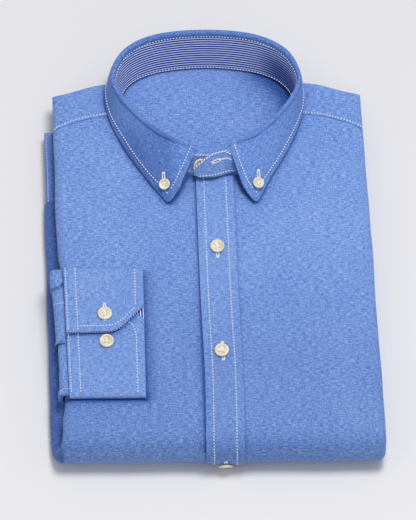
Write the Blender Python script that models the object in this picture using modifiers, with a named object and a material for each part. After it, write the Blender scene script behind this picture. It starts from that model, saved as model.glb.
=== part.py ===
"""A folded button-down dress shirt, lying face up with its tail turned under, in metres.

The shirt is modelled square to the axes in its own sewing frame: +X to the wearer's left, +Y towards
the collar, +Z up from the table. lie() then gives it the slight skew it was folded with, and the
empty at the end centres it over the origin.
"""

import math

import bmesh
import bpy
from mathutils import Vector

# ---- Driving dimensions ----
HALF_WIDTH = 0.1248  # of the folded shirt, across the chest
STACK = 0.030  # height of the whole folded stack
LEG = 0.0126  # thickness of the chest, and of the tail turned under it
FOLD_Y = -0.1665  # outermost line of the bottom fold
HEM_Y = 0.0620  # where the turned-up tail ends, at its sides
HEM_RISE = 0.0080  # how much further up the tail reaches at its middle
TAIL_SLIP_RIGHT = 0.0100  # how far the tail lies out past the chest on the wearer's right
TAIL_SLIP_LEFT = -0.0020
LEAN = -0.0136  # the folded shirt lies a little askew: X gained per metre of Y
DROP = -0.0262  # Y gained per metre of X
WALL = 0.0012  # one layer of shirting
GAP = 0.0003  # between pieces at their seams
SEAM_GAP = 0.0007  # at the curved yoke seam, where the two sides are faceted differently
SIDE_RETURN = 0.0500  # how far the fronts turn in underneath
BEND = STACK / 2
BEND_Y = FOLD_Y + BEND
BEND_LENGTH = math.pi * BEND
BACK_Z = 0.0159  # underside of the back and the yoke
YOKE_TURN_Y = 0.1080  # where the yoke is joined to the back, underneath
SIDE_PINCH = 0.0024  # how far the sleeve round the side draws the side fold in
SHOULDER_DROP = 0.0035  # how much the chest thins towards the shoulders

# The neck, from centre back to the front end of the collar leaf, on the wearer's left.
# Each row is one station: the neck seam, the fold at the top of the stand, and the leaf's outer edge.
NECK_COLUMNS = ("seam", "fold", "edge")
NECK = (
    ((0.0000, 0.1820, 0.0198), (0.0000, 0.1935, 0.0500), (0.0000, 0.2040, 0.0100)),
    ((0.0370, 0.1780, 0.0199), (0.0380, 0.1895, 0.0500), (0.0420, 0.1990, 0.0100)),
    ((0.0590, 0.1680, 0.0216), (0.0620, 0.1765, 0.0500), (0.0665, 0.1825, 0.0120)),
    ((0.0700, 0.1520, 0.0256), (0.0735, 0.1570, 0.0500), (0.0775, 0.1570, 0.0273)),
    ((0.0705, 0.1360, 0.0284), (0.0710, 0.1420, 0.0495), (0.0765, 0.1320, 0.0278)),
    ((0.0610, 0.1145, 0.0310), (0.0570, 0.1215, 0.0490), (0.0635, 0.1020, 0.0295)),
    ((0.0420, 0.0930, 0.0318), (0.0390, 0.1055, 0.0485), (0.0485, 0.0760, 0.0304)),
    ((0.0200, 0.0780, 0.0321), (0.0160, 0.0892, 0.0475), (0.0344, 0.0518, 0.0306)),
)
STAND_SHARE = 0.88  # of the way from seam to fold that the stand covers; the leaf has the rest
STAND_WALL = 0.0010
LEAF_WALL = 0.0014
LEAF_SPREAD = 0.0040  # the right side of the leaf falls wider than the left
LEAF_BULGE = 0.0030
ROLL_OUT = (0.0, 0.0014, 0.0034, 0.0050)  # the leaf's roll over the fold line: outwards, and up
ROLL_RISE = (0.0002, 0.0014, 0.0012, -0.0010)
NECK_EDGE = 0.0014  # from the neck seam line out to the cloth sewn to it

PLACKET_WIDTH = 0.0300
PLACKET_TOP_Y = 0.0746
CHANNEL_DEPTH = 0.0047  # the tail's middle is pressed up by the buttons it lies on
CHANNEL_HALF = 0.0180
CHANNEL_EASE = 0.0200

# Sewn on in three sizes: across, and thickness
FRONT_BUTTON = (0.0115, 0.0026)
CUFF_BUTTON = (0.0114, 0.0026)
POINT_BUTTON = (0.0092, 0.0023)
STAND_BUTTON = (0.0110, 0.0022)
POINT_BUTTON_PLACE = (6.72, 0.80)  # station along the collar, and share of the way down the leaf
CUFF_BUTTON_PLACES = ((-0.0890, -0.0500), (-0.0883, -0.0731))  # the second shows below the upper flap
FRONT_BUTTONS = (  # distance along the front from the top of the bottom fold, negative on the chest
    ("button_front_1", -0.1622),
    ("button_front_2", -0.0711),
    ("button_front_3", 0.0298),
    ("button_front_4", 0.1208),
    ("button_front_5", 0.2118),
)

CUFF_LEFT_X, CUFF_RIGHT_X = -0.1207, -0.0577  # sleeve side and wrist edge
CUFF_TOP_Y, CUFF_BOTTOM_Y = -0.0086, -0.1208
CUFF_Z = 0.0304
CUFF_FLAP_Y = -0.0662
CUFF_UNDERLAP_Y = -0.0500
FACING_WALL = 0.0010
SLEEVE_HALF_THICK = 0.0013
SLEEVE_WALL = 0.0010

OTHER_CUFF = (-0.1326, -0.0900, 0.0626, 0.1263, 0.0090, 0.0112)  # x, x, y, y, z, z
SLEEVE_INNER_X = 0.0150
SLEEVE_OUTER_X = 0.1210
SLEEVE_END_Y = 0.1480
ROLL_GROOVE = 0.0016  # between one folded layer of sleeve and the next

OXFORD = (0.130, 0.275, 0.680, 1.0)
OXFORD_PALE = (0.190, 0.340, 0.740, 1.0)
STRIPE = (0.100, 0.160, 0.430, 1.0)
IVORY = (0.800, 0.740, 0.600, 1.0)


# ---- Small helpers ----
def smooth(t):
    t = min(1.0, max(0.0, t))
    return t * t * (3 - 2 * t)


def mix(a, b, t):
    return a + (b - a) * t


def steps(start, end, count):
    return [mix(start, end, i / count) for i in range(count + 1)]


def lie(x, y, z):
    return Vector((x + LEAN * y, y + DROP * x, z))


def reading(table, x):
    """The value at x between the rows of a short table of (x, value)."""
    for (x0, v0), (x1, v1) in zip(table, table[1:]):
        if x <= x1:
            return mix(v0, v1, smooth((x - x0) / (x1 - x0)) * 0.5 + 0.5 * (x - x0) / (x1 - x0))
    return table[-1][1]


# ---- The long path of the fronts: down the chest, round the bottom fold and back up the tail ----
def chest_top(y):
    return STACK - SHOULDER_DROP * smooth((y - 0.060) / 0.090)


def placket_x(along):
    y = max(FOLD_Y, BEND_Y - along)
    return 0.0019 + 0.01267 * y


def side_x(side, along):
    """X of the side fold: drawn in a little under the cuff, and out as the tail slips past the chest."""
    slip = TAIL_SLIP_RIGHT if side < 0 else TAIL_SLIP_LEFT
    edge = HALF_WIDTH + slip * smooth((along + 0.010) / (BEND_LENGTH + 0.010))
    if side < 0:
        y = BEND_Y - along
        beside = smooth((CUFF_TOP_Y + 0.018 - y) / 0.018) * smooth((y - CUFF_BOTTOM_Y + 0.018) / 0.018)
        edge -= SIDE_PINCH * beside
    return side * edge


def channel(x, along):
    """How deep the tail is pressed up beside the buttons it rests on."""
    across = 1 - smooth((abs(x - placket_x(along)) - CHANNEL_HALF) / CHANNEL_EASE)
    return CHANNEL_DEPTH * smooth((along - 0.0315) / 0.015) * across


def on_path(x, along, out):
    """A point at x, at a distance along the front, and out from its outer face."""
    if along <= 0:
        y = BEND_Y - along
        share = (out + LEG) / LEG
        return lie(x, y, STACK - LEG + share * (LEG - STACK + chest_top(y)))
    if along < BEND_LENGTH:
        turn = along / BEND
        return lie(x, BEND_Y - (BEND + out) * math.sin(turn), BEND + (BEND + out) * math.cos(turn))
    return lie(x, BEND_Y + along - BEND_LENGTH, -out)


def hem_along(x):
    rise = HEM_RISE * (1 - min(1.0, abs(x) / HALF_WIDTH) ** 2)
    return BEND_LENGTH + HEM_Y + rise - BEND_Y


# ---- The neck ----
def neck_point(station, column):
    """A point on one of the neck's lines; station runs from 0 at centre back to 7 at the front."""
    i = NECK_COLUMNS.index(column)
    last = len(NECK) - 1
    k = min(last - 1, int(station))
    t = station - k
    first = Vector(NECK[1][i])
    first.x = -first.x
    rows = [first] + [Vector(row[i]) for row in NECK]
    rows.append(rows[-1] * 2 - rows[-2])
    a, b, c, d = rows[k : k + 4]
    return 0.5 * (2 * b + (c - a) * t + (2 * a - 5 * b + 4 * c - d) * t**2 + (3 * b - a - 3 * c + d) * t**3)


def neck_out(station, column="seam"):
    """The level direction away from the neck's middle, square to the line."""
    step = 0.02
    here = neck_point(min(station + step, 7), column) - neck_point(max(station - step, -step), column)
    return Vector((here.y, -here.x, 0)).normalized() * -1


def neck_edge(station, out):
    return neck_point(station, "seam") + neck_out(station) * out


def neck_edge_y(x, out):
    """Y of the front of the neckline at this x."""
    points = [neck_edge(s, out) for s in steps(7, 4, 40)]
    points.insert(0, Vector((0, points[0].y - 0.0016, 0)))
    for a, b in zip(points, points[1:]):
        if a.x <= x <= b.x:
            return mix(a.y, b.y, (x - a.x) / max(1e-9, b.x - a.x))
    return points[-1].y


NECK_STATIONS = steps(0, 7, 18)
NECK_HALF_WIDTH = max(neck_edge(s, NECK_EDGE).x for s in steps(3, 5, 20))


def yoke_seam_y(reach):
    """Y of the seam between front and yoke; reach is the distance from the middle, flattened out."""
    return max(YOKE_TURN_Y, 0.1338 - 4.95 * (reach - 0.071) ** 2)


def front_end_y(reach):
    if reach < NECK_HALF_WIDTH:
        return min(neck_edge_y(reach, NECK_EDGE), yoke_seam_y(NECK_HALF_WIDTH))
    return yoke_seam_y(reach)


# ---- Building ----
def material(name, colour, roughness, metallic=0.0):
    made = bpy.data.materials.new(name)
    made.use_nodes = True
    shader = made.node_tree.nodes["Principled BSDF"]
    shader.inputs["Base Color"].default_value = colour
    shader.inputs["Roughness"].default_value = roughness
    shader.inputs["Metallic"].default_value = metallic
    return made


def add_object(name, mesh, look, where):
    made = bpy.data.objects.new(name, mesh)
    made.data.materials.append(look)
    where.objects.link(made)
    return made


def sheet(name, across, down, place, look, where, wall=0.0, side=-1, closed=False, capped=False):
    """A grid put in place by place(a, b); a wall makes it cloth, and a closed, capped one is solid."""
    shape = bmesh.new()
    columns, rows = len(across) - 1, len(down) - 1
    bmesh.ops.create_grid(shape, x_segments=columns, y_segments=rows, size=0.5)
    for vert in shape.verts:
        i = round((vert.co.x + 0.5) * columns)
        j = round((vert.co.y + 0.5) * rows)
        vert.co = place(across[i], down[j])
    if closed:
        bmesh.ops.remove_doubles(shape, verts=shape.verts, dist=1e-6)
    if capped:
        caps = bmesh.ops.holes_fill(shape, edges=shape.edges, sides=0)["faces"]
        bmesh.ops.triangulate(shape, faces=caps)
        bmesh.ops.recalc_face_normals(shape, faces=shape.faces)
    mesh = bpy.data.meshes.new(name)
    shape.to_mesh(mesh)
    shape.free()
    mesh.shade_smooth()
    made = add_object(name, mesh, look, where)
    if wall:
        thick = made.modifiers.new("wall", "SOLIDIFY")
        thick.thickness = wall
        thick.offset = side
        thick.use_even_offset = not closed
    return made


def cut(target, cutter):
    made = target.modifiers.new("cut", "BOOLEAN")
    made.operation = "DIFFERENCE"
    made.object = cutter
    cutter.hide_render = True
    cutter.display_type = "WIRE"


def box(name, low, high, look, where):
    shape = bmesh.new()
    bmesh.ops.create_cube(shape, size=1.0)
    for vert in shape.verts:
        x, y, z = (mix(low[i], high[i], vert.co[i] + 0.5) for i in range(3))
        vert.co = lie(x, y, z)
    mesh = bpy.data.meshes.new(name)
    shape.to_mesh(mesh)
    shape.free()
    return add_object(name, mesh, look, where)


# ---- The fronts, turned in at the sides and carried round the bottom fold ----
def build_front(name, side, look, where):
    nose = LEG / 2
    flat = [0.0002, 0.010, 0.019, 0.026, 0.032, 0.041, 0.052, 0.061, 0.067, 0.0705, NECK_HALF_WIDTH - 1e-5,
            NECK_HALF_WIDTH + 1e-5, 0.082, 0.100, 0.112, HALF_WIDTH - nose]
    turns = [math.radians(a) for a in (22, 45, 68, 90, 113, 137, 180)]
    across = [("flat", d) for d in flat] + [("nose", t) for t in turns] + [("return", SIDE_RETURN)]
    chest = [0, 0.20, 0.41, 0.50, 0.70, 0.90, 0.96, 1.0] if side < 0 else steps(0, 1, 5)
    bend = steps(0, 1, 9)[1:]
    tail = [0.35, 0.7, 1.0]
    down = [("chest", t) for t in chest] + [("bend", t) for t in bend] + [("tail", t) for t in tail]

    def section(kind, amount, along):
        edge = abs(side_x(side, along))
        if kind == "flat":
            x = side * amount * (edge - nose) / flat[-1] + placket_x(along) * (1 - smooth(amount / 0.060))
            return x, -channel(x, along), amount
        if kind == "nose":
            reach = HALF_WIDTH - nose + nose * amount
            return side * (edge - nose + nose * math.sin(amount)), -nose + nose * math.cos(amount), reach
        reach = HALF_WIDTH - nose + nose * math.pi + amount
        return side * (edge - nose - amount), -LEG, reach

    def place(column, row):
        kind, amount = column
        stretch, share = row
        reach = section(kind, amount, 0)[2]
        start = BEND_Y - front_end_y(reach) + SEAM_GAP / 2
        if stretch == "chest":
            along = mix(start, 0, share)
        elif stretch == "bend":
            along = BEND_LENGTH * share
        else:
            x = section(kind, amount, BEND_LENGTH)[0]
            along = mix(BEND_LENGTH, hem_along(x), share)
        x, out, _ = section(kind, amount, along)
        return on_path(x, along, out)

    return sheet(name, across, down, place, look, where, WALL, side=side)


def build_placket(look, where):
    across = steps(-1, 1, 2)
    start = BEND_Y - PLACKET_TOP_Y
    down = steps(start, 0, 4) + steps(0, BEND_LENGTH, 10)[1:]
    down += steps(BEND_LENGTH, hem_along(0) - 0.001, 6)[1:]

    def place(share, along):
        x = placket_x(along) + share * PLACKET_WIDTH / 2
        return on_path(x, along, GAP - channel(x, along))

    return sheet("placket", across, down, place, look, where, WALL, side=-1)


# ---- The yoke, over the shoulders and down the back of the neck ----
SHOULDER_LINE = (
    (0.0, 0.1860), (0.037, 0.1820), (0.059, 0.1734), (0.068, 0.1690), (0.079, 0.1656), (HALF_WIDTH, 0.1536),
)


def yoke_top(x, y):
    dip = 0.0070 * smooth((y - 0.138) / 0.042) * (1 - smooth((abs(x) - 0.066) / 0.030))
    return chest_top(y) - dip


def yoke_point(x, stretch, share):
    """A point of the yoke's outer face: top, nose round the shoulder line, or under."""
    edge = reading(SHOULDER_LINE, abs(x))
    top_edge = yoke_top(x, edge)
    nose = (top_edge - BACK_Z) / 2
    middle = BACK_Z + nose
    start = yoke_seam_y(max(abs(x), NECK_HALF_WIDTH)) + SEAM_GAP / 2
    if stretch == "top":
        y = mix(start, edge - nose, share)
        z = yoke_top(x, y)
    elif stretch == "nose":
        y = edge - nose + nose * math.sin(math.pi * share)
        z = middle + nose * math.cos(math.pi * share)
    else:
        end = YOKE_TURN_Y + GAP / 2
        if abs(x) > HALF_WIDTH - LEG / 2 - 0.0002:
            end = yoke_seam_y(HALF_WIDTH) + 0.001
        y = mix(edge - nose, end, share)
        z = BACK_Z
    side_nose = 0.0052
    inset = (HALF_WIDTH - abs(x)) / side_nose
    if inset < 1:
        z = middle + (z - middle) * max(0.07, math.sqrt(max(0.0, 1 - (1 - inset) ** 2)))
    return lie(x, y, z)


def build_yoke(look, where):
    half = [0.0, 0.018, 0.037, 0.050, 0.059, 0.066, NECK_HALF_WIDTH, 0.082, 0.100, 0.112]
    half += [HALF_WIDTH - LEG / 2, 0.1220, 0.1238, HALF_WIDTH]
    across = [-x for x in reversed(half[1:])] + half
    down = [("top", t) for t in steps(0, 1, 3)]
    down += [("nose", t) for t in steps(0, 1, 6)[1:]]
    down += [("under", t) for t in steps(0, 1, 2)[1:]]

    def place(x, row):
        return yoke_point(x, *row)

    return sheet("yoke", across, down, place, look, where, WALL, side=-1)


def build_yoke_inside(look, where):
    """The inside of the yoke and back, seen down the neck."""
    margin = 0.0011
    back = neck_edge(0, margin).y
    front = neck_edge(7, 0).y + 0.0010

    def place(share, t):
        y = mix(front, back, t)
        best = 0.004
        for s in steps(0.02, 7, 60):
            a, b = neck_edge(s, margin), neck_edge(min(7, s + 0.12), margin)
            low, high = sorted((a.y, b.y))
            if low <= y <= high:
                best = max(best, a.x)
        return lie(share * best, y, STACK - LEG)

    down = [0, 0.1, 0.2, 0.35, 0.5, 0.65, 0.8, 0.9, 0.96, 0.99]
    return sheet("yoke_inside", steps(-1, 1, 4), down, place, look, where, WALL, side=1)


def build_back(look, where):
    def place(x, y):
        return lie(x, y, BACK_Z)

    across = steps(-HALF_WIDTH + 0.004, HALF_WIDTH - 0.004, 6)
    return sheet("back", across, [0.020, 0.060, YOKE_TURN_Y - GAP / 2], place, look, where, WALL, side=1)


# ---- What is folded away: one solid inside the fronts ----
def build_neck_well(look, where):
    """The cutter for the hollow down the neck, just clear of the stand."""
    half = [neck_edge(s, NECK_EDGE) for s in NECK_STATIONS]
    outline = [(p.x, p.y) for p in half] + [(-p.x, p.y) for p in reversed(half)]
    outline.append(outline[0])

    def place(p, z):
        return lie(p[0], p[1], z)

    depth = [STACK - LEG - GAP, 2 * STACK]
    return sheet("neck_well", outline, depth, place, look, where, closed=True, capped=True)


def build_folded_layers(look, where):
    clear = WALL + GAP + 0.0006
    nose = LEG / 2 - clear
    start = BEND_Y - 0.1360
    down = steps(start, 0, 4) + steps(0, BEND_LENGTH, 9)[1:]
    down += steps(BEND_LENGTH, hem_along(HALF_WIDTH) - 0.001, 4)[1:]
    flat = [-1.0, -0.7, -0.5] + [-0.33, -0.26, -0.21, -0.15, 0.15, 0.21, 0.26, 0.33] + [0.5, 0.7, 1.0]
    ring = [("outer", t) for t in flat] + [("right", t) for t in steps(0, math.pi, 6)[1:-1]]
    ring += [("inner", t) for t in (1.0, -1.0)] + [("left", t) for t in steps(math.pi, 0, 6)[1:-1]]
    ring.append(ring[0])

    def place(corner, along):
        kind, amount = corner
        left = side_x(-1, along) + SIDE_PINCH + clear + nose
        right = side_x(1, along) - clear - nose
        if kind in ("outer", "inner"):
            reach = right if amount > 0 else -left
            middle = placket_x(along)
            x = middle + amount * (reach - middle * (1 if amount > 0 else -1))
            out = -clear - channel(x, along) if kind == "outer" else clear - LEG
            if kind == "outer":
                out -= 0.0010 * smooth((BEND_Y - along - 0.010) / 0.030)
        else:
            x = right + nose * math.sin(amount) if kind == "right" else left - nose * math.sin(amount)
            out = -LEG / 2 + nose * math.cos(amount)
        return on_path(x, along, out)

    return sheet("folded_layers", ring, down, place, look, where, closed=True, capped=True)


def build_folded_sleeve(name, side, look, where):
    """A sleeve laid down the back: folded flat in four, so its outer edge is four soft rolls."""
    layers, facets = 4, 4
    count = layers * facets
    thick = BACK_Z - GAP
    rolls = []
    for i in range(count + 1):
        rolls.append((thick * i / count, ROLL_GROOVE * (1 - abs(math.sin(math.pi * i / facets)))))
    between = (0.045, 0.070, 0.095)
    ring = [(SLEEVE_OUTER_X - groove - 0.0025 * z / thick, z, groove) for z, groove in rolls]
    ring += [(x, thick, 0.0) for x in reversed(between)]
    ring += [(SLEEVE_INNER_X + groove + 0.0040 * z / thick, z, groove) for z, groove in reversed(rolls)]
    ring += [(x, 0.0, 0.0) for x in between]
    ring.append(ring[0])

    def place(corner, share):
        x, z, groove = corner
        first = HEM_Y + HEM_RISE * (1 - (x / HALF_WIDTH) ** 2) + 0.0006
        last = SLEEVE_END_Y - groove - 0.0030 * z / thick
        return lie(side * x, mix(first, last, share), z)

    return sheet(name, ring, steps(0, 1, 2), place, look, where, closed=True, capped=True)


# ---- The collar: a stand with its striped lining, and the leaf that rolls over it ----
FRONT_STATIONS = 7.0
STAND_PASS = 0.0072  # how far the left end of the stand lies out over the right one


def stand_end(share, side):
    """A point on the stand's run beyond the leaf: (seam, top), share from 0 at the leaf to 1 at the tip."""
    seam, fold = neck_point(FRONT_STATIONS, "seam"), neck_point(FRONT_STATIONS, "fold")
    reach = 0.0330 if side > 0 else 0.0240
    over = STAND_PASS * smooth(share * 1.6) if side > 0 else 0.0
    run = reach * share
    top = mix(seam, fold, STAND_SHARE)
    low = Vector((seam.x - run, seam.y - 0.0022 * smooth(share * 1.5), seam.z))
    high = Vector((top.x - run, top.y - 0.0006 * share, top.z - 0.0010 * share))
    slope = (high - low).normalized()
    away = Vector((0, -slope.z, slope.y))
    low, high = low + away * over * 0.85, high + away * over
    bend = max(0.0, (share - 0.20) / 0.80) if side > 0 else 0.0
    return low, mix(high, low, 0.86 * (1 - math.sqrt(1 - bend * bend)))


def stand_lines(station, side):
    if station <= FRONT_STATIONS:
        seam, fold = neck_point(station, "seam"), neck_point(station, "fold")
        low, high = seam, mix(seam, fold, STAND_SHARE)
        facing = neck_out(station)
    else:
        low, high = stand_end(station - FRONT_STATIONS, side)
        turned = max(0, 1 - 4 * (station - FRONT_STATIONS))
        facing = Vector((0, -1, 0)).lerp(neck_out(FRONT_STATIONS), turned)
        facing.normalize()
    return low, high, facing


def build_stand(name, out, look, where):
    """One ply of the stand, its outer face a little out from the neck seam's line."""
    half = NECK_STATIONS + [FRONT_STATIONS + s for s in (0.2, 0.4, 0.6, 0.75, 0.87, 0.95, 1.0)]
    across = [(-1, s) for s in reversed(half[1:])] + [(1, s) for s in half]

    def place(column, share):
        side, station = column
        low, high, facing = stand_lines(station, side)
        point = mix(low, high, share)
        slope = high - low
        square = facing - slope * (facing.dot(slope) / max(1e-9, slope.length_squared))
        square.normalize()
        if station > FRONT_STATIONS and slope.length < 0.006:
            square = facing
        point = point + square * out
        return lie(side * point.x, point.y, point.z)

    return sheet(name, across, steps(0, 1, 3), place, look, where, STAND_WALL, side=1)


def leaf_point(station, share, side):
    """share 0 is inside on the stand's top edge, 0.3 is down from the roll, 1 is the outer edge."""
    seam, fold, edge = (neck_point(station, c) for c in NECK_COLUMNS)
    out = neck_out(station, "fold")
    if side < 0:
        edge = edge + out * LEAF_SPREAD * smooth(station - 1.5) * (1 - smooth(station - 6))
    steep = smooth((station - 1.8) / 1.2) * (1 - smooth((station - 4.8) / 1.4))  # at the sides of the neck
    start = mix(seam, fold, STAND_SHARE + 0.03)
    widths = [w * (1 - 0.60 * steep) for w in ROLL_OUT]
    roll = [start] + [fold + out * w + Vector((0, 0, rise)) for w, rise in zip(widths, ROLL_RISE)]
    if share <= 0.3:
        k = min(3, int(share / 0.075))
        return mix(roll[k], roll[k + 1], share / 0.075 - k)
    t = (share - 0.3) / 0.7
    fall = mix(roll[-1], edge, t)
    bulge = LEAF_BULGE * (1 - 0.85 * steep) * math.sin(math.pi * t)
    return fall + out * bulge + Vector((0, 0, bulge * 0.5))


def build_leaf(look, where):
    half = steps(0, FRONT_STATIONS, 20)
    across = [(-1, s) for s in reversed(half[1:])] + [(1, s) for s in half]
    down = [0, 0.075, 0.15, 0.225, 0.3, 0.48, 0.66, 0.83, 1.0]

    def place(column, share):
        side, station = column
        point = leaf_point(station, share, side)
        return lie(side * point.x, point.y, point.z)

    return sheet("collar_leaf", across, down, place, look, where, LEAF_WALL, side=1)


# ---- The cuff on the chest, and the end of the sleeve that brings it round the side ----
def flap_end(x):
    """Y of the free end of the upper flap: straight, then cut away to the wrist edge."""
    corner_x, wrist_y = -0.0810, -0.0425
    if x < corner_x:
        return CUFF_FLAP_Y + 0.030 * (x - CUFF_LEFT_X) * 0.8
    start = CUFF_FLAP_Y + 0.030 * (corner_x - CUFF_LEFT_X) * 0.8
    return mix(start, wrist_y, (x - corner_x) / (CUFF_RIGHT_X - corner_x))


def underlap_end(x):
    corner_x, wrist_y = -0.0720, -0.0570
    if x < corner_x:
        return CUFF_UNDERLAP_Y
    return mix(CUFF_UNDERLAP_Y, wrist_y, (x - corner_x) / (CUFF_RIGHT_X - corner_x))


def cuff_x(x, y):
    """The cuff lies a little off square: its lower corners are further left."""
    lower = (CUFF_TOP_Y - y) / (CUFF_TOP_Y - CUFF_BOTTOM_Y)
    wrist = (x - CUFF_LEFT_X) / (CUFF_RIGHT_X - CUFF_LEFT_X)
    return x + mix(0.0018, -0.0020, wrist) * lower


CUFF_PLY = FACING_WALL + GAP * 2
UNDER_Z = CUFF_Z + WALL + GAP + FACING_WALL + GAP + WALL  # outer face of the lower flap
OVER_Z = UNDER_Z + GAP + WALL  # outer face of the upper flap


def build_cuff(look, where):
    across = [CUFF_LEFT_X, -0.105, -0.093, -0.0811, -0.0760, -0.0721, -0.0660, -0.0610, CUFF_RIGHT_X]
    low_nose = (UNDER_Z - CUFF_Z) / 2
    high_nose = (OVER_Z - CUFF_Z) / 2
    down = [("underlap", t) for t in steps(0, 1, 3)]
    down += [("low nose", t) for t in steps(0, 1, 6)[1:]]
    down += [("bottom", t) for t in steps(0, 1, 2)[1:]]
    down += [("high nose", t) for t in steps(0, 1, 6)[1:]]
    down += [("flap", t) for t in steps(0, 1, 4)[1:]]

    def place(x, row):
        stretch, t = row
        turn = math.pi * t
        if stretch == "underlap":
            y, z = mix(underlap_end(x), CUFF_BOTTOM_Y + low_nose, t), UNDER_Z
        elif stretch == "low nose":
            y = CUFF_BOTTOM_Y + low_nose - low_nose * math.sin(turn)
            z = CUFF_Z + low_nose + low_nose * math.cos(turn)
        elif stretch == "bottom":
            y, z = mix(CUFF_BOTTOM_Y + low_nose, CUFF_TOP_Y - high_nose, t), CUFF_Z
        elif stretch == "high nose":
            y = CUFF_TOP_Y - high_nose + high_nose * math.sin(turn)
            z = CUFF_Z + high_nose - high_nose * math.cos(turn)
        else:
            y, z = mix(CUFF_TOP_Y - high_nose, flap_end(x), t), OVER_Z
        return lie(cuff_x(x, y), y, z)

    return sheet("cuff_right", across, down, place, look, where, WALL, side=1)


def build_cuff_facing(look, where):
    inset = WALL + GAP + 0.0010

    def place(x, y):
        return lie(cuff_x(x, y), y, CUFF_Z + WALL + GAP)

    across = [CUFF_LEFT_X + 0.001, -0.090, CUFF_RIGHT_X - 0.0003]
    down = steps(CUFF_BOTTOM_Y + inset, CUFF_TOP_Y - inset, 4)
    return sheet("cuff_facing", across, down, place, look, where, FACING_WALL, side=1)


WRIST = (  # the sleeve's outline beside the cuff: y, how far out past the side fold it rolls
    (-0.1185, 0.0020), (-0.0930, 0.0016), (-0.0710, 0.0022), (-0.0550, 0.0029), (-0.0312, 0.0040),
    (-0.0216, 0.0052), (-0.0085, 0.0057),
)


def wrist_roll(y):
    return reading(WRIST, y)


def wrist_path(travel, y, level):
    """The sleeve's run from the slit under the chest, round its side, to the cuff.

    travel: 0 to 1 inside the slit, 1 to 2 round the side, 2 to 3 on top; level is out from the
    middle of the flattened sleeve.
    """
    slit_z = STACK - LEG - GAP - SLEEVE_HALF_THICK - 0.0002
    top_z = STACK + GAP + SLEEVE_HALF_THICK + 0.0002
    radius = (top_z - slit_z) / 2
    middle_z = slit_z + radius
    out_x = -HALF_WIDTH - wrist_roll(y) + SLEEVE_HALF_THICK
    deep = 0.0050  # the turn is flattened against the side
    turn_x = out_x + deep
    if travel <= 1:
        x, z = mix(-0.0700, turn_x, travel), slit_z - level
    elif travel <= 2:
        turn = math.pi * (travel - 1)
        x = turn_x - (deep + level) * math.sin(turn)
        z = middle_z - (radius + level) * math.cos(turn)
    else:
        x, z = mix(turn_x, cuff_x(CUFF_LEFT_X, y) - GAP, travel - 2), top_z + level
    return lie(x, y, z)


def build_wrist(look, where):
    low, high = -0.1180, -0.0092
    half = SLEEVE_HALF_THICK
    flat = steps(low + half, high - half, 6)
    ring = [(y, half) for y in flat]
    ring += [(high - half + half * math.sin(a), half * math.cos(a)) for a in steps(0, math.pi, 4)[1:-1]]
    ring += [(y, -half) for y in reversed(flat)]
    ring += [(low + half - half * math.sin(a), half * math.cos(a)) for a in steps(math.pi, 0, 4)[1:-1]]
    ring.append(ring[0])
    travel = [0, 0.5] + steps(1, 2, 10) + [2.5, 3.0]

    def place(corner, t):
        return wrist_path(t, *corner)

    return sheet("sleeve_right_wrist", ring, travel, place, look, where, SLEEVE_WALL, side=1, closed=True)


def build_sleeve_placket(look, where):
    """The bound edge of the sleeve's slit, lying on the sleeve up to the cuff."""
    def place(y, travel):
        bend = 0.0060 * smooth((travel - 2.0) / 1.0)
        return wrist_path(travel, y + bend, SLEEVE_HALF_THICK + GAP + 0.0001)

    across = steps(-0.0740, -0.0560, 2)
    travel = steps(1.3, 2.0, 7) + [2.5, 2.97]
    return sheet("sleeve_placket", across, travel, place, look, where, SLEEVE_WALL, side=-1)


# ---- Buttons ----
def button_mesh(name, across, thick):
    """A rimmed button turned about its axis, standing on z = 0."""
    radius = across / 2
    profile = (  # shares of the radius and of the thickness
        (0.0, 0.70), (0.56, 0.70), (0.70, 0.95), (0.84, 1.0),
        (0.96, 0.80), (1.0, 0.50), (0.82, 0.0), (0.0, 0.0),
    )
    shape = bmesh.new()
    verts = [shape.verts.new((radius * x, 0, thick * z)) for x, z in profile]
    for a, b in zip(verts, verts[1:]):
        shape.edges.new((a, b))
    mesh = bpy.data.meshes.new(name)
    shape.to_mesh(mesh)
    shape.free()
    return mesh


def add_button(name, size, point, normal, look, where):
    made = add_object(name, button_mesh(name, *size), look, where)
    made.location = point + normal.normalized() * GAP
    made.rotation_euler = normal.to_track_quat("Z", "Y").to_euler()
    turned = made.modifiers.new("turned", "SCREW")
    turned.axis = "Z"
    turned.steps = 16
    turned.render_steps = 16
    turned.use_merge_vertices = True
    turned.merge_threshold = 0.00005
    turned.use_normal_calculate = True
    return made


def normal_of(place, a, b, step):
    """The upward normal of a surface given as a function of two numbers."""
    across = place(a + step, b) - place(a - step, b)
    along = place(a, b + step) - place(a, b - step)
    return across.cross(along).normalized()


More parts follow.
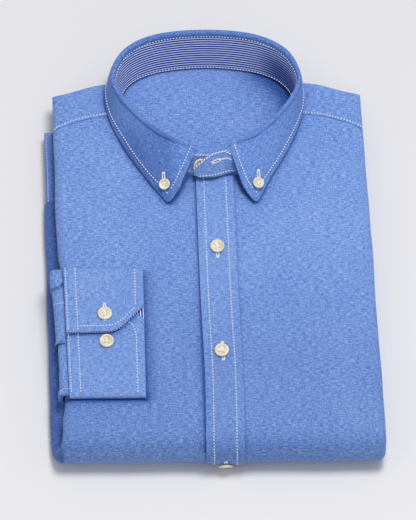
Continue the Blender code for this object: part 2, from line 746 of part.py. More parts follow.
def build_buttons(look, where):
    face = GAP + WALL
    made = []
    for name, along in FRONT_BUTTONS:
        x = placket_x(along)
        base = on_path(x, along, face - channel(x, along))
        above = on_path(x, along, face - channel(x, along) + 0.001)
        made.append(add_button(name, FRONT_BUTTON, base, above - base, look, where))
    for name, side in (("button_collar_right", -1), ("button_collar_left", 1)):
        def leaf(a, b, side=side):
            point = leaf_point(a, b, side)
            return lie(side * point.x, point.y, point.z)
        normal = normal_of(leaf, *POINT_BUTTON_PLACE, 0.02)
        if normal.z < 0:
            normal = -normal
        point = leaf(*POINT_BUTTON_PLACE) + normal * LEAF_WALL
        made.append(add_button(name, POINT_BUTTON, point, normal, look, where))
    up = Vector((0, 0, 1))
    for name, (x, y), z in zip(("button_cuff_1", "button_cuff_2"), CUFF_BUTTON_PLACES, (OVER_Z, UNDER_Z)):
        made.append(add_button(name, CUFF_BUTTON, lie(cuff_x(x, y), y, z), up, look, where))
    low, high, facing = stand_lines(FRONT_STATIONS + 0.40, -1)
    slope = high - low
    square = (facing - slope * (facing.dot(slope) / slope.length_squared)).normalized()
    if square.z < 0:
        square = -square
    point = mix(low, high, 0.50) + square * (STAND_WALL + 0.0008)
    made.append(add_button("button_stand", STAND_BUTTON, lie(-point.x, point.y, point.z),
                           Vector((-square.x, square.y, square.z)), look, where))
    return made


def main():
    for old in list(bpy.data.objects):
        bpy.data.objects.remove(old)
    where = bpy.data.collections.new("folded_dress_shirt")
    cutters = bpy.data.collections.new("cutters")
    bpy.context.scene.collection.children.link(where)
    bpy.context.scene.collection.children.link(cutters)
    body = material("oxford_cloth", OXFORD, 0.85)
    sewn = material("oxford_cloth_interlined", OXFORD_PALE, 0.85)
    striped = material("striped_lining", STRIPE, 0.80)
    pearl = material("ivory_button", IVORY, 0.30)

    build_front("front_right", -1, body, where)
    build_front("front_left", 1, body, where)
    build_placket(sewn, where)
    well = build_neck_well(body, cutters)
    cut(build_yoke(body, where), well)
    cut(build_folded_layers(body, where), well)
    build_yoke_inside(body, where)
    build_back(body, where)
    build_folded_sleeve("sleeve_left", 1, body, where)
    sleeve = build_folded_sleeve("sleeve_right", -1, body, where)
    x0, x1, y0, y1, z0, z1 = OTHER_CUFF
    other = box("cuff_left", (x0, y0, z0), (x1, y1, z1), sewn, where)
    rounded = other.modifiers.new("rounded", "BEVEL")
    rounded.width = 0.0007
    rounded.segments = 2
    room = box("cuff_left_room", (x0, y0 - 0.01, z0 - GAP), (x1 + GAP, y1 + GAP, z1 + GAP), body, cutters)
    cut(sleeve, room)
    build_stand("collar_stand", STAND_WALL, sewn, where)
    build_stand("collar_stand_lining", -GAP, striped, where)
    build_leaf(sewn, where)
    build_cuff(sewn, where)
    build_cuff_facing(striped, where)
    build_wrist(body, where)
    build_sleeve_placket(body, where)
    build_buttons(pearl, where)

    bpy.context.view_layer.update()
    graph = bpy.context.evaluated_depsgraph_get()
    corners = []
    for piece in where.objects:
        seen = piece.evaluated_get(graph)
        corners += [seen.matrix_world @ vert.co for vert in seen.to_mesh().vertices]
    centre = bpy.data.objects.new("shirt", None)
    where.objects.link(centre)
    centre.location.x = -(min(c.x for c in corners) + max(c.x for c in corners)) / 2
    centre.location.y = -(min(c.y for c in corners) + max(c.y for c in corners)) / 2
    for piece in list(where.objects) + list(cutters.objects):
        if piece is not centre:
            piece.parent = centre
    print("shirt centred by", tuple(round(v, 6) for v in centre.location),
          "lowest", round(min(c.z for c in corners), 6))


main()
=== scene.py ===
from math import copysign, cos, exp, hypot, pi, radians, sin, sqrt

import bmesh
import bpy
from mathutils import Matrix, Vector, kdtree, noise


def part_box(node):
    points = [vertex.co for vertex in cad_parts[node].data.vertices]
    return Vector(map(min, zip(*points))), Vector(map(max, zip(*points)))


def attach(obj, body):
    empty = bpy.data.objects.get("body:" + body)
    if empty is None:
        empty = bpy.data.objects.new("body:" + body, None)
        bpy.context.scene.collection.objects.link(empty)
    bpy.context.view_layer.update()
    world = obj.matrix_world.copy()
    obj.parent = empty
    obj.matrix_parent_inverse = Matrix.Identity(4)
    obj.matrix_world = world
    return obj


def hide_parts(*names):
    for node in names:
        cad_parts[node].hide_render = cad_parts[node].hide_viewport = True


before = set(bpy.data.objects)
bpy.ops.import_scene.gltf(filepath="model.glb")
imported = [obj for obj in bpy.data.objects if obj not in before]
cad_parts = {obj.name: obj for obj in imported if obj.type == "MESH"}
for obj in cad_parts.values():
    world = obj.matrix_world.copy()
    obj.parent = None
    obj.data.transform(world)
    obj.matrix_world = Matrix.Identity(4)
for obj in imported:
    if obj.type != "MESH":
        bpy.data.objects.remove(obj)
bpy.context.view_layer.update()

# A button-down shirt folded face up. Each piece of cloth is a grid laid on the folded form.
# x runs to the wearer's left, y to the collar and z up, square to the shirt; laid() turns it into the frame.

fold = {
    "halfWidth": 0.1248,  # of the folded shirt
    "stack": 0.030,  # its height
    "leg": 0.0126,  # thickness of the chest, and of the tail turned under it
    "foldY": -0.1665,
    "hemY": 0.0620,
    "hemRise": 0.0080,
    "slipRight": 0.0100,  # the tail lies out past the chest on the wearer's right
    "slipLeft": -0.0020,
    "lean": -0.0136,  # x gained per metre of y
    "drop": -0.0262,  # y gained per metre of x
    "gap": 0.0003,
    "wall": 0.0012,
    "sideReturn": 0.0500,
    "sidePinch": 0.0024,
    "shoulderDrop": 0.0035,
    "shoulderFrom": 0.060,
    "shoulderOver": 0.090,
    "trench": 0.0047,  # let into the tail for the placket, which lies under it
    "backZ": 0.0159,
    "yokeTurnY": 0.1080,
}
bend = fold["stack"] / 2
bendY = fold["foldY"] + bend
bendLength = pi * bend
sideNose = fold["leg"] / 2


# small helpers
def smooth(t):
    t = min(1.0, max(0.0, t))
    return t * t * (3 - 2 * t)


def mix(a, b, t):
    return a + (b - a) * t


def band(away, width):
    # 1 on a line, falling off on both sides
    return exp(-((away / width) ** 2))


def steps(start, end, count):
    return [mix(start, end, i / count) for i in range(count + 1)]


def chained(*legs):
    # steps over several legs (start, end, count), each starting where the last one ends
    return steps(*legs[0]) + [t for leg in legs[1:] for t in steps(*leg)[1:]]


def stretches(**counts):
    # rows (name, share) over stretches of cloth, joined the same way
    rows = [(name, t) for name, count in counts.items() for t in steps(0, 1, count)]
    return [row for k, row in enumerate(rows) if k == 0 or row[1] > 0]


def mirrored(half):
    # columns (side, station) from one front round to the other, from those of one half
    return [(-1, station) for station in reversed(half[1:])] + [(1, station) for station in half]


def spline(points, t):
    # a smooth curve through the points; t counts them from 0
    last = len(points) - 1
    k = min(last - 1, max(0, int(t)))
    t -= k
    b, c = points[k], points[k + 1]
    a = points[k - 1] if k else b * 2 - c
    d = points[k + 2] if k + 2 <= last else c * 2 - b
    return 0.5 * (2 * b + (c - a) * t + (2 * a - 5 * b + 4 * c - d) * t**2 + (3 * b - a - 3 * c + d) * t**3)


def reading(table, x):
    for (x0, v0), (x1, v1) in zip(table, table[1:]):
        if x <= x1:
            t = (x - x0) / (x1 - x0)
            return mix(v0, v1, smooth(t) * 0.5 + 0.5 * t)
    return table[-1][1]


def placketX(along):
    return 0.0019 + 0.01267 * max(fold["foldY"], bendY - along)


def skewed(x, y, z):
    return Vector((x + fold["lean"] * y, y + fold["drop"] * x, z))


def centreOf(node):
    low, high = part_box(node)
    return (low + high) / 2


# each front button, and its distance past the top of the bottom fold
buttonRows = (("button_front_1", -0.1622), ("button_front_2", -0.0711), ("button_front_3", 0.0298),
              ("button_front_4", 0.1208), ("button_front_5", 0.2118))
firstName, firstAlong = buttonRows[0]
shift = centreOf(firstName) - skewed(placketX(firstAlong), bendY - firstAlong, 0)
shift.z = 0


def laid(x, y, z):
    return skewed(x, y, z) + shift


def unlaid(point):
    p = point - shift
    square = 1 - fold["lean"] * fold["drop"]
    return (p.x - fold["lean"] * p.y) / square, (p.y - fold["drop"] * p.x) / square, p.z


# the long way of the fronts: down the chest, round the bottom fold, up the tail
def chestTop(y):
    return fold["stack"] - fold["shoulderDrop"] * smooth((y - fold["shoulderFrom"]) / fold["shoulderOver"])


cuff = {
    "left": -0.1207, "right": -0.0577, "top": -0.0086, "bottom": -0.1208,
    "z": 0.0304, "flapY": -0.0662, "underlapY": -0.0445,
    "facing": 0.0010, "lift": 0.0012,  # how far the flap's free edge stands up
    "wristRows": (0.0017, 0.0095), "edgeRow": 0.0066,  # stitching, in from the sleeve and from the far edge
}


def sideX(side, along):
    slip = fold["slipRight"] if side < 0 else fold["slipLeft"]
    edge = fold["halfWidth"] + slip * smooth((along + 0.010) / (bendLength + 0.010))
    if side < 0:
        y, reach = bendY - along, 0.018  # the cuff's sleeve pulls the side in beside it
        beside = smooth((cuff["top"] + reach - y) / reach) * smooth((y - cuff["bottom"] + reach) / reach)
        edge -= fold["sidePinch"] * beside
    return side * edge


def channel(x, along):
    across = 1 - smooth((abs(x - placketX(along)) - 0.0180) / 0.0200)
    return fold["trench"] * smooth((along - 0.0315) / 0.015) * across


def onPath(x, along, out):
    leg, stack = fold["leg"], fold["stack"]
    if along <= 0:
        y = bendY - along
        share = (out + leg) / leg
        return laid(x, y, stack - leg + share * (leg - stack + chestTop(y)))
    if along < bendLength:
        turn = along / bend
        return laid(x, bendY - (bend + out) * sin(turn), bend + (bend + out) * cos(turn))
    return laid(x, bendY + along - bendLength, -out)


def hemAlong(x):
    rise = fold["hemRise"] * (1 - min(1.0, abs(x) / fold["halfWidth"]) ** 2)
    return bendLength + fold["hemY"] + rise - bendY


# creases, each (x, y, angle, half length, half width, height), in mm and degrees
chestCreases = (
    (-66, 44, 4, 17, 1.3, -0.42), (-60, 40, 3, 14, 1.6, 0.22), (-36, 38, -38, 16, 2.2, 0.34),
    (-28, 30, -52, 14, 2.0, -0.30), (-88, 74, 12, 13, 2.4, -0.26), (-96, 20, -8, 15, 2.6, 0.24),
    (-40, -20, -24, 13, 2.0, -0.30), (-30, -48, -34, 15, 2.2, 0.30), (-38, -84, 28, 13, 2.0, -0.28),
    (-26, -104, -20, 14, 1.8, 0.32), (-34, -112, -18, 16, 1.6, -0.34), (-78, -134, -14, 15, 1.8, 0.32),
    (-96, -128, 10, 11, 1.8, -0.26), (-60, -146, 16, 16, 2.4, -0.30), (-104, -150, -4, 12, 2.2, 0.24),
    (38, 34, -44, 11, 1.8, -0.34), (44, 26, 20, 13, 1.8, 0.26), (78, 58, 14, 16, 2.2, -0.30),
    (96, 40, -12, 13, 2.2, 0.28), (66, 12, 6, 17, 1.8, -0.32), (98, -2, -16, 15, 2.4, 0.24),
    (54, -26, -10, 13, 1.8, 0.26), (84, -34, 10, 16, 2.0, -0.32), (60, -58, 24, 15, 2.0, -0.26),
    (100, -68, -8, 13, 2.4, 0.28), (40, -82, -30, 14, 1.8, 0.30), (74, -98, 40, 16, 1.8, -0.36),
    (82, -104, 38, 14, 1.8, 0.28), (46, -118, 22, 13, 2.0, -0.28), (98, -124, 34, 14, 2.2, 0.26),
    (62, -140, 8, 17, 2.4, -0.28), (92, -148, -10, 12, 2.0, 0.24), (30, -150, 12, 11, 1.8, 0.22),
)
tailCreases = (
    (-90, -96, 12, 20, 3.0, -0.5), (-60, -40, -24, 24, 3.2, -0.6), (-96, 8, 30, 18, 2.8, -0.5),
    (-48, 26, -8, 18, 2.6, -0.5), (84, -104, -18, 22, 3.0, -0.6), (62, -58, 26, 20, 2.8, -0.5),
    (94, -14, -12, 20, 3.0, -0.6), (56, 18, 34, 18, 2.6, -0.5), (40, -128, 8, 16, 2.6, -0.4),
)


def creased(table, x, y):
    total = 0.0
    for cx, cy, angle, half, width, height in table:
        dx, dy = x * 1000 - cx, y * 1000 - cy
        if abs(dx) + abs(dy) > half * 2:
            continue
        c, s = cos(radians(angle)), sin(radians(angle))
        along, across = (dx * c + dy * s) / half, (dy * c - dx * s + 0.010 * (dx * c + dy * s) ** 2) / width
        if abs(along) < 1:
            total += height * (1 - along * along) ** 2 * exp(-across * across)
    return total / 1000


def rumple(x, y, seed, size=0.026):
    # soft unevenness, about 1 either way
    return noise.noise(Vector((x / size, y / size * 1.3, seed)))


def chestRelief(x, y):
    gapToPlacket = smooth((abs(x - placketX(bendY - y)) - 0.0155) / 0.008)
    relief = creased(chestCreases, x, y) + 0.00028 * rumple(x, y, 3.1) + 0.00012 * rumple(x, y, 8.4, 0.009)
    beneath = cuff["bottom"] - 0.004 < y < cuff["top"] + 0.004
    underCuff = smooth((x - cuff["right"]) / 0.006) if beneath else 1.0
    nearCollar = smooth((0.066 - y) / 0.020) if abs(x) < 0.090 else smooth((0.120 - y) / 0.020)
    relief = min(relief, 0.0) * (0.35 + 0.65 * nearCollar) + max(relief, 0.0) * underCuff * nearCollar
    beside = band(x - cuff["right"] - 0.0015, 0.0032) * smooth((cuff["top"] + 0.004 - y) / 0.012)
    beside *= smooth((y - cuff["bottom"] + 0.004) / 0.010)
    return relief * gapToPlacket - 0.0007 * beside


print("form ready")


# materials
def linear(*colour):
    # a colour as seen, turned into one for light to work with
    return tuple(v / 12.92 if v <= 0.04045 else ((v + 0.055) / 1.055) ** 2.4 for v in colour) + (1.0,)


class Nodes:
    # a short way to write a node tree
    def __init__(self, name):
        self.material = bpy.data.materials.new(name)
        self.material.use_nodes = True
        self.tree = self.material.node_tree
        self.shader = self.tree.nodes["Principled BSDF"]

    def feed(self, node, inputs):
        # each socket is joined to an output or set to a constant
        for socket, value in inputs.items():
            if hasattr(value, "is_output"):
                self.tree.links.new(value, node.inputs[socket])
            else:
                node.inputs[socket].default_value = value

    def add(self, kind, inputs, **values):
        made = self.tree.nodes.new(kind)
        for key, value in values.items():
            setattr(made, key, value)
        self.feed(made, inputs)
        return made

    def coordinates(self, output):
        return self.add("ShaderNodeTexCoord", {}).outputs[output]

    def split(self, vector):
        return self.add("ShaderNodeSeparateXYZ", {0: vector}).outputs

    def scaled(self, source, scale, turn=0.0):
        given = {"Vector": source, "Scale": scale, "Rotation": (0, 0, turn)}
        return self.add("ShaderNodeMapping", given).outputs["Vector"]

    def noisy(self, source, scale, detail=2.0, rough=0.5, turn=0.0):
        place = self.scaled(source, scale, turn)
        given = {"Vector": place, "Scale": 1.0, "Detail": detail, "Roughness": rough}
        return self.add("ShaderNodeTexNoise", given).outputs["Fac"]

    def waves(self, source, direction, pitch):
        bands = 1 / pitch / 3.1831  # at scale 1 a band is 1/3.18 of a unit
        made = self.add("ShaderNodeTexWave", {"Vector": source, "Scale": bands, "Distortion": 0.0},
                        wave_type="BANDS", bands_direction=direction)
        return made.outputs["Fac"]

    def sums(self, operation, a, b):
        return self.add("ShaderNodeMath", {0: a, 1: b}, operation=operation).outputs[0]

    def weighted(self, *pairs):
        # each source times its share, added up
        total = None
        for source, share in pairs:
            part = source if share == 1 else self.sums("MULTIPLY", source, share)
            total = part if total is None else self.sums("ADD", total, part)
        return total

    def ramp(self, source, *stops):
        made = self.add("ShaderNodeValToRGB", {"Fac": source})
        elements = made.color_ramp.elements
        while len(elements) < len(stops):
            elements.new(0.5)
        for element, (position, colour) in zip(elements, stops):
            element.position = position
            element.color = colour
        return made.outputs["Color"]

    def times(self, a, b):
        given = {0: 1.0, 6: a, 7: b}
        return self.add("ShaderNodeMix", given, data_type="RGBA", blend_type="MULTIPLY").outputs[2]

    def pressed(self, colour):
        # painted shade: the colour darkened where shade is painted into the cloth
        amount = self.add("ShaderNodeAttribute", {}, attribute_name="pressed").outputs["Fac"]
        return self.times(colour, self.ramp(amount, (0.0, (1, 1, 1, 1)), (1.0, oxford["pressed"])))

    def finish(self, sockets, bump=None):
        # sets the shader's own sockets; bump is a height, a strength and a distance
        self.feed(self.shader, sockets)
        if bump:
            made = self.add("ShaderNodeBump", dict(zip(("Height", "Strength", "Distance"), bump)))
            self.feed(self.shader, {"Normal": made.outputs["Normal"]})
        return self.material



oxford = {
    "deep": linear(0.300, 0.462, 0.775), "middle": linear(0.458, 0.598, 0.855),
    "pale": linear(0.640, 0.742, 0.925), "middleTone": 0.592, "twillPitch": 0.00135, "threadPitch": 0.00090, 
    "slub": (0.0040, 0.00078), "warp": (0.0008, 0.0034), "grain": 0.00062, "roughness": 0.88, "sheen": 0.22,
    "pressed": (0.17, 0.27, 0.48, 1.0),  # painted shade at full strength: contact shadows under edges and shade in folds
}


def oxfordCloth(name, paler=0.0, slubShare=0.9, turn=0.0):
    # blue warp and white weft: a basket weave with slubs in both directions
    n = Nodes(name)
    uv = n.coordinates("UV")
    slub = n.noisy(uv, (1 / oxford["slub"][0], 1 / oxford["slub"][1], 1), 3.0, 0.6, turn)
    warp = n.noisy(uv, (1 / oxford["warp"][0], 1 / oxford["warp"][1], 1), 2.0, 0.5, turn)
    grain = n.noisy(uv, (1 / oxford["grain"], 1 / oxford["grain"], 1), 2.0, 0.6)
    broad = n.noisy(uv, (14, 14, 1), 2.0, 0.5)
    weft, ends = n.waves(uv, "Y", oxford["threadPitch"]), n.waves(uv, "X", oxford["threadPitch"])
    weave = n.sums("MULTIPLY", weft, ends)
    twill = n.waves(n.scaled(uv, (1, 1, 1), radians(52)), "X", oxford["twillPitch"])
    height = n.weighted((slub, slubShare), (warp, 0.45), (grain, 0.55))
    tone = n.weighted((height, 1), (weave, 0.12), (broad, 0.12), (twill, 0.07))
    tone = n.sums("SUBTRACT", tone, oxford["middleTone"] - paler)
    colour = n.ramp(tone, (0.32, oxford["deep"]), (0.50, oxford["middle"]), (0.68, oxford["pale"]))
    sockets = {
        "Base Color": n.pressed(colour), "Roughness": oxford["roughness"], "Specular IOR Level": 0.25,
        "Sheen Weight": oxford["sheen"], "Sheen Roughness": 0.45, "Sheen Tint": linear(0.80, 0.88, 1.0),
    }
    return n.finish(sockets, (n.weighted((weave, 0.5), (height, 1)), 0.32, 0.00035))



lining = {
    "ground": linear(0.36, 0.48, 0.84), "white": linear(0.86, 0.92, 1.0), "navy": linear(0.02, 0.15, 0.64),
    "collarPitch": 0.00225, "cuffPitch": 0.0022,
}


def stripedLining(name, axis, pitch):
    # fine stripes: a white and a navy line on blue, run along the other axis of the map
    n = Nodes(name)
    uv = n.coordinates("UV")
    wobble = n.sums("MULTIPLY", n.noisy(uv, (25, 25, 1)), 0.0004)
    phase = n.sums("FRACT", n.sums("MULTIPLY", n.sums("ADD", n.split(uv)[axis], wobble), 1 / pitch), 0)
    ground, white, navy = lining["ground"], lining["white"], lining["navy"]
    stripes = n.ramp(phase, (0.0, ground), (0.04, white), (0.42, white), (0.47, ground), (0.52, navy),
                     (0.94, navy), (0.99, ground))
    grain = n.noisy(uv, (900, 900, 1))
    shade = n.ramp(grain, (0.3, (0.86, 0.86, 0.88, 1)), (0.7, (1, 1, 1, 1)))
    colour = n.pressed(n.times(stripes, shade))
    sockets = {"Base Color": colour, "Roughness": 0.80, "Specular IOR Level": 0.25}
    return n.finish(sockets, (grain, 0.20, 0.0002))


def threadMaterial():
    n = Nodes("whiteThread")
    twist = n.noisy(n.coordinates("Object"), (2600, 2600, 2600), 1.0)
    colour = n.ramp(twist, (0.3, linear(0.84, 0.88, 0.95)), (0.7, linear(0.98, 0.98, 1.0)))
    return n.finish({"Base Color": colour, "Roughness": 0.62, "Sheen Weight": 0.15}, (twist, 0.3, 0.0001))


def buttonMaterial():
    # cast ivory resin: faint drifting layers under a soft gloss
    n = Nodes("ivoryButton")
    spot = n.coordinates("Object")
    drift = n.noisy(spot, (120, 260, 400), 3.0, 0.55)
    cloud = n.noisy(spot, (700, 700, 700), 2.0)
    colour = n.ramp(n.weighted((drift, 0.7), (cloud, 0.3)), (0.30, linear(0.80, 0.73, 0.60)),
                    (0.50, linear(0.915, 0.875, 0.775)), (0.72, linear(0.97, 0.95, 0.89)))
    sockets = {"Base Color": colour, "Roughness": 0.34, "Coat Weight": 0.35, "Coat Roughness": 0.18}
    return n.finish(sockets, (cloud, 0.08, 0.0001))


def slitMaterial():
    n = Nodes("slitShadow")
    grain = n.noisy(n.coordinates("Object"), (1500, 1500, 1500))
    colour = n.ramp(grain, (0.3, linear(0.10, 0.17, 0.40)), (0.7, linear(0.17, 0.26, 0.52)))
    return n.finish({"Base Color": colour, "Roughness": 0.9})



bodyCloth = oxfordCloth("oxfordCloth")
sewnCloth = oxfordCloth("oxfordInterlined", paler=0.11, slubShare=0.7)
leafCloth = oxfordCloth("oxfordCollar", paler=0.045, slubShare=0.7, turn=radians(35))
crossCloth = oxfordCloth("oxfordCross", turn=radians(90))
collarStripes = stripedLining("collarStripes", 1, lining["collarPitch"])
cuffStripes = stripedLining("cuffStripes", 0, lining["cuffPitch"])
thread = threadMaterial()
ivory = buttonMaterial()
slitBlue = slitMaterial()
print("materials ready")


# making cloth
def loose(name, bm):
    # the mesh as an object at the origin
    mesh = bpy.data.meshes.new(name)
    bm.to_mesh(mesh)
    bm.free()
    return placed(name, mesh)


def placed(name, mesh):
    made = bpy.data.objects.new(name, mesh)
    bpy.context.scene.collection.objects.link(made)
    return made


def finished(made, look, replaced=()):
    made.data.materials.clear()
    made.data.materials.append(look)
    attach(made, "root")
    if replaced:
        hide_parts(*replaced)
    return made


def evaluated(piece):
    # a new mesh of the piece with its modifiers or bevel applied
    bpy.context.view_layer.update()
    return bpy.data.meshes.new_from_object(piece.evaluated_get(bpy.context.evaluated_depsgraph_get()))


def mapped(bm, number, across, down, grain):
    # a map in metres: the cut's own grain where it is known, or measured along the cloth
    def between(i, j, k, l):
        return (number[i, j].co - number[k, l].co).length

    columns, rows = len(across), len(down)
    us, vs = [0.0], [0.0]
    for i in range(1, columns):
        us.append(us[-1] + sum(between(i, j, i - 1, j) for j in range(rows)) / rows)
    for j in range(1, rows):
        vs.append(vs[-1] + sum(between(i, j, i, j - 1) for i in range(columns)) / columns)
    layer = bm.loops.layers.uv.new("cloth")
    place = {vert: grain(across[i], down[j]) if grain else (us[i], vs[j]) for (i, j), vert in number.items()}
    for face in bm.faces:
        for loop in face.loops:
            loop[layer].uv = place[loop.vert]
    return us[-1], vs[-1]


def cloth(name, across, down, surface, face, wall, look, replaced=(), closed=False, capped=False,
          grain=None, shade=None):
    # a grid put on surface(a, b, out); the wall goes in from its outer face
    bm = bmesh.new()
    columns, rows = len(across) - 1, len(down) - 1
    bmesh.ops.create_grid(bm, x_segments=columns, y_segments=rows, size=0.5)
    pressed = bm.verts.layers.float.new("pressed")
    number = {}
    for vert in bm.verts:
        number[round((vert.co.x + 0.5) * columns), round((vert.co.y + 0.5) * rows)] = vert
    for (i, j), vert in number.items():
        vert.co = surface(across[i], down[j], face)
    # shade gives painted shade: a darkening kept with each vertex, which the cloth's colour takes up
    if shade:
        for vert in bm.verts:
            vert[pressed] = min(1.0, shade(*unlaid(vert.co)))
    bm.normal_update()
    i, j = columns // 3, rows // 2
    outward = surface(across[i], down[j], face + 0.001) - number[i, j].co
    if outward.dot(number[i, j].normal) < 0:
        bmesh.ops.reverse_faces(bm, faces=bm.faces)
    width, length = mapped(bm, number, across, down, grain)
    if closed:
        bmesh.ops.remove_doubles(bm, verts=bm.verts, dist=1e-6)
    if capped:
        bmesh.ops.holes_fill(bm, edges=bm.edges, sides=0)
        bmesh.ops.recalc_face_normals(bm, faces=bm.faces)
    made = finished(loose(name, bm), look, replaced)
    made.data.shade_smooth()
    if wall:
        thick = made.modifiers.new("wall", "SOLIDIFY")
        thick.thickness = wall
        thick.offset = -1
        soft = made.modifiers.new("softEdge", "BEVEL")
        soft.width = wall * 0.3
        soft.segments = 2
        soft.limit_method = "ANGLE"
        soft.angle_limit = radians(55)
    print(name, "map %.3f x %.3f m" % (width, length))
    return made


# sewing
sewing = {"pitch": 0.00245, "length": 0.00100, "radius": 0.00050}
arch = ((-0.5, -0.7), (-0.32, 0.15), (0.0, 0.45), (0.32, 0.15), (0.5, -0.7))  # along, height in radii


def stitchRun(middle, way, up, length, radius):
    way, up = way.normalized(), up.normalized()
    return [middle + way * length * a + up * radius * h for a, h in arch], radius


def threadPiece(name, runs):
    # every run is a short thread, thinner where it goes into the cloth
    curve = bpy.data.curves.new(name, "CURVE")
    curve.dimensions = "3D"
    curve.bevel_depth = 1.0
    curve.bevel_resolution = 1
    curve.use_fill_caps = True
    for points, radius in runs:
        line = curve.splines.new("POLY")
        line.points.add(len(points) - 1)
        for k, point in enumerate(points):
            line.points[k].co = (*point, 1.0)
            line.points[k].radius = radius * (0.6 if k in (0, len(points) - 1) else 1.0)
    rope = placed(name, curve)
    mesh = evaluated(rope)
    bpy.data.objects.remove(rope)
    bpy.data.curves.remove(curve)
    mesh.shade_smooth()
    finished(placed(name, mesh), thread)


def walked(line, pitch):
    # points every pitch along a line of (point, point above it)
    found, carry = [], 0.0
    for (a, above), (b, _) in zip(line, line[1:]):
        long = (b - a).length
        if long < 1e-9:
            continue
        way, at = (b - a) / long, carry
        while at < long:
            found.append((a + way * at, way, above - a))
            at += pitch
        carry = at - long
    return found


def sewRow(runs, surface, face, places, lean=0.0, sign=1, **sizes):
    s = dict(sewing, **sizes)
    line = [(surface(a, b, face), surface(a, b, face + 0.001 * sign)) for a, b in places]
    for k, (point, way, up) in enumerate(walked(line, s["pitch"])):
        turn = lean + 0.10 * sin(k * 2.4)
        way = Matrix.Rotation(turn, 3, up) @ way
        runs.append(stitchRun(point, way, up, s["length"] * (1 + 0.08 * sin(k * 1.7)), s["radius"]))


def path(points, count=24):
    # a route on the cloth through a few (a, b) places
    vectors = [Vector(p) for p in points]
    return [tuple(spline(vectors, t)) for t in steps(0, len(points) - 1, count * (len(points) - 1))]


def straight(start, end, count=40):
    return [(mix(start[0], end[0], t), mix(start[1], end[1], t)) for t in steps(0, 1, count)]


# the neck, from centre back to the collar's front: seam, fold at the top of the stand, outer edge of the leaf
neckRows = (
    ((0.0000, 0.1820, 0.0198), (0.0000, 0.1950, 0.0500), (0.0000, 0.2040, 0.0100)),
    ((0.0370, 0.1780, 0.0199), (0.0388, 0.1909, 0.0500), (0.0420, 0.1990, 0.0100)),
    ((0.0590, 0.1680, 0.0216), (0.0632, 0.1778, 0.0500), (0.0660, 0.1825, 0.0120)),
    ((0.0700, 0.1520, 0.0256), (0.0740, 0.1576, 0.0500), (0.0762, 0.1570, 0.0273)),
    ((0.0705, 0.1360, 0.0284), (0.0712, 0.1420, 0.0495), (0.0752, 0.1320, 0.0278)),
    ((0.0610, 0.1145, 0.0310), (0.0570, 0.1215, 0.0490), (0.0635, 0.1020, 0.0295)),
    ((0.0420, 0.0930, 0.0318), (0.0390, 0.1055, 0.0485), (0.0485, 0.0760, 0.0304)),
    ((0.0200, 0.0780, 0.0321), (0.0160, 0.0892, 0.0475), (0.0342, 0.0538, 0.0306)),
)
seamLine, foldLine, edgeLine = 0, 1, 2
neckEdgeOut = 0.0014


def neckPoint(station, line):
    rows = [Vector(row[line]) for row in neckRows]
    first = Vector((-rows[1].x, rows[1].y, rows[1].z))
    return spline([first] + rows, station + 1)


def neckOut(station, line=seamLine):
    way = neckPoint(min(station + 0.02, 7), line) - neckPoint(station - 0.02, line)
    return Vector((-way.y, way.x, 0)).normalized()


def neckEdge(station, out=neckEdgeOut):
    return neckPoint(station, seamLine) + neckOut(station) * out


neckHalfWidth = max(neckEdge(s).x for s in steps(3, 5, 20))
neckWidest = max(steps(3, 5, 20), key=lambda s: neckEdge(s).x)
neckFront = [Vector((0, neckEdge(7).y - 0.0016, 0))] + [neckEdge(s) for s in steps(7, 4, 40)]


def yokeSeamY(reach):
    return max(fold["yokeTurnY"], 0.1338 - 4.95 * (reach - 0.071) ** 2)


def cuffX(x, y):
    lower = (cuff["top"] - y) / (cuff["top"] - cuff["bottom"])
    wrist = (x - cuff["left"]) / (cuff["right"] - cuff["left"])
    return x + mix(0.0018, -0.0020, wrist) * lower


placket = {"width": 0.0300, "topY": 0.0746, "wall": 0.0010, "columns": 20, "stitchIn": 0.0062}

# the collar's shape
stand = {"share": 0.88, "wall": 0.0010, "leftReach": 0.0330, "rightReach": 0.0240, "passOver": 0.0072}
leaf = {"wall": 0.0013, "spread": 0.0040, "bulge": 0.0026, "stitchIn": 0.0060, "puff": 0.00045}
rollOut = (0.0, 0.0008, 0.0019, 0.0027)
rollRise = (0.0002, 0.0014, 0.0012, -0.0010)
leafShares = (0, 0.075, 0.15, 0.225, 0.3, 0.48, 0.66, 0.83, 1.0)
leafFront = 7.0


def standEnd(share, side):
    seam, foldAt = neckPoint(leafFront, seamLine), neckPoint(leafFront, foldLine)
    reach = stand["leftReach"] if side > 0 else stand["rightReach"]
    over = stand["passOver"] * smooth(share * 1.6) if side > 0 else 0.0
    top = mix(seam, foldAt, stand["share"])
    low = Vector((seam.x - reach * share, seam.y - 0.0022 * smooth(share * 1.5), seam.z))
    high = Vector((top.x - reach * share, top.y - 0.0006 * share, top.z - 0.0010 * share))
    slope = (high - low).normalized()
    if side > 0:
        high = high + slope * 0.0036 * smooth(share / 0.15) * (1 - smooth((share - 0.40) / 0.45))
    low = mix(low, high, 0.12 * smooth((share - 0.88) / 0.12))
    away = Vector((0, -slope.z, slope.y))
    low, high = low + away * over * 0.85, high + away * over
    bent = max(0.0, (share - 0.20) / 0.80) if side > 0 else 0.0
    return low, mix(high, low, 0.86 * (1 - sqrt(max(0.0, 1 - bent * bent))))


def standLines(station, side):
    if station <= leafFront:
        seam, foldAt = neckPoint(station, seamLine), neckPoint(station, foldLine)
        return seam, mix(seam, foldAt, stand["share"]), neckOut(station)
    low, high = standEnd(station - leafFront, side)
    turned = max(0, 1 - 4 * (station - leafFront))
    facing = Vector((0, -1, 0)).lerp(neckOut(leafFront), turned)
    return low, high, facing.normalized()


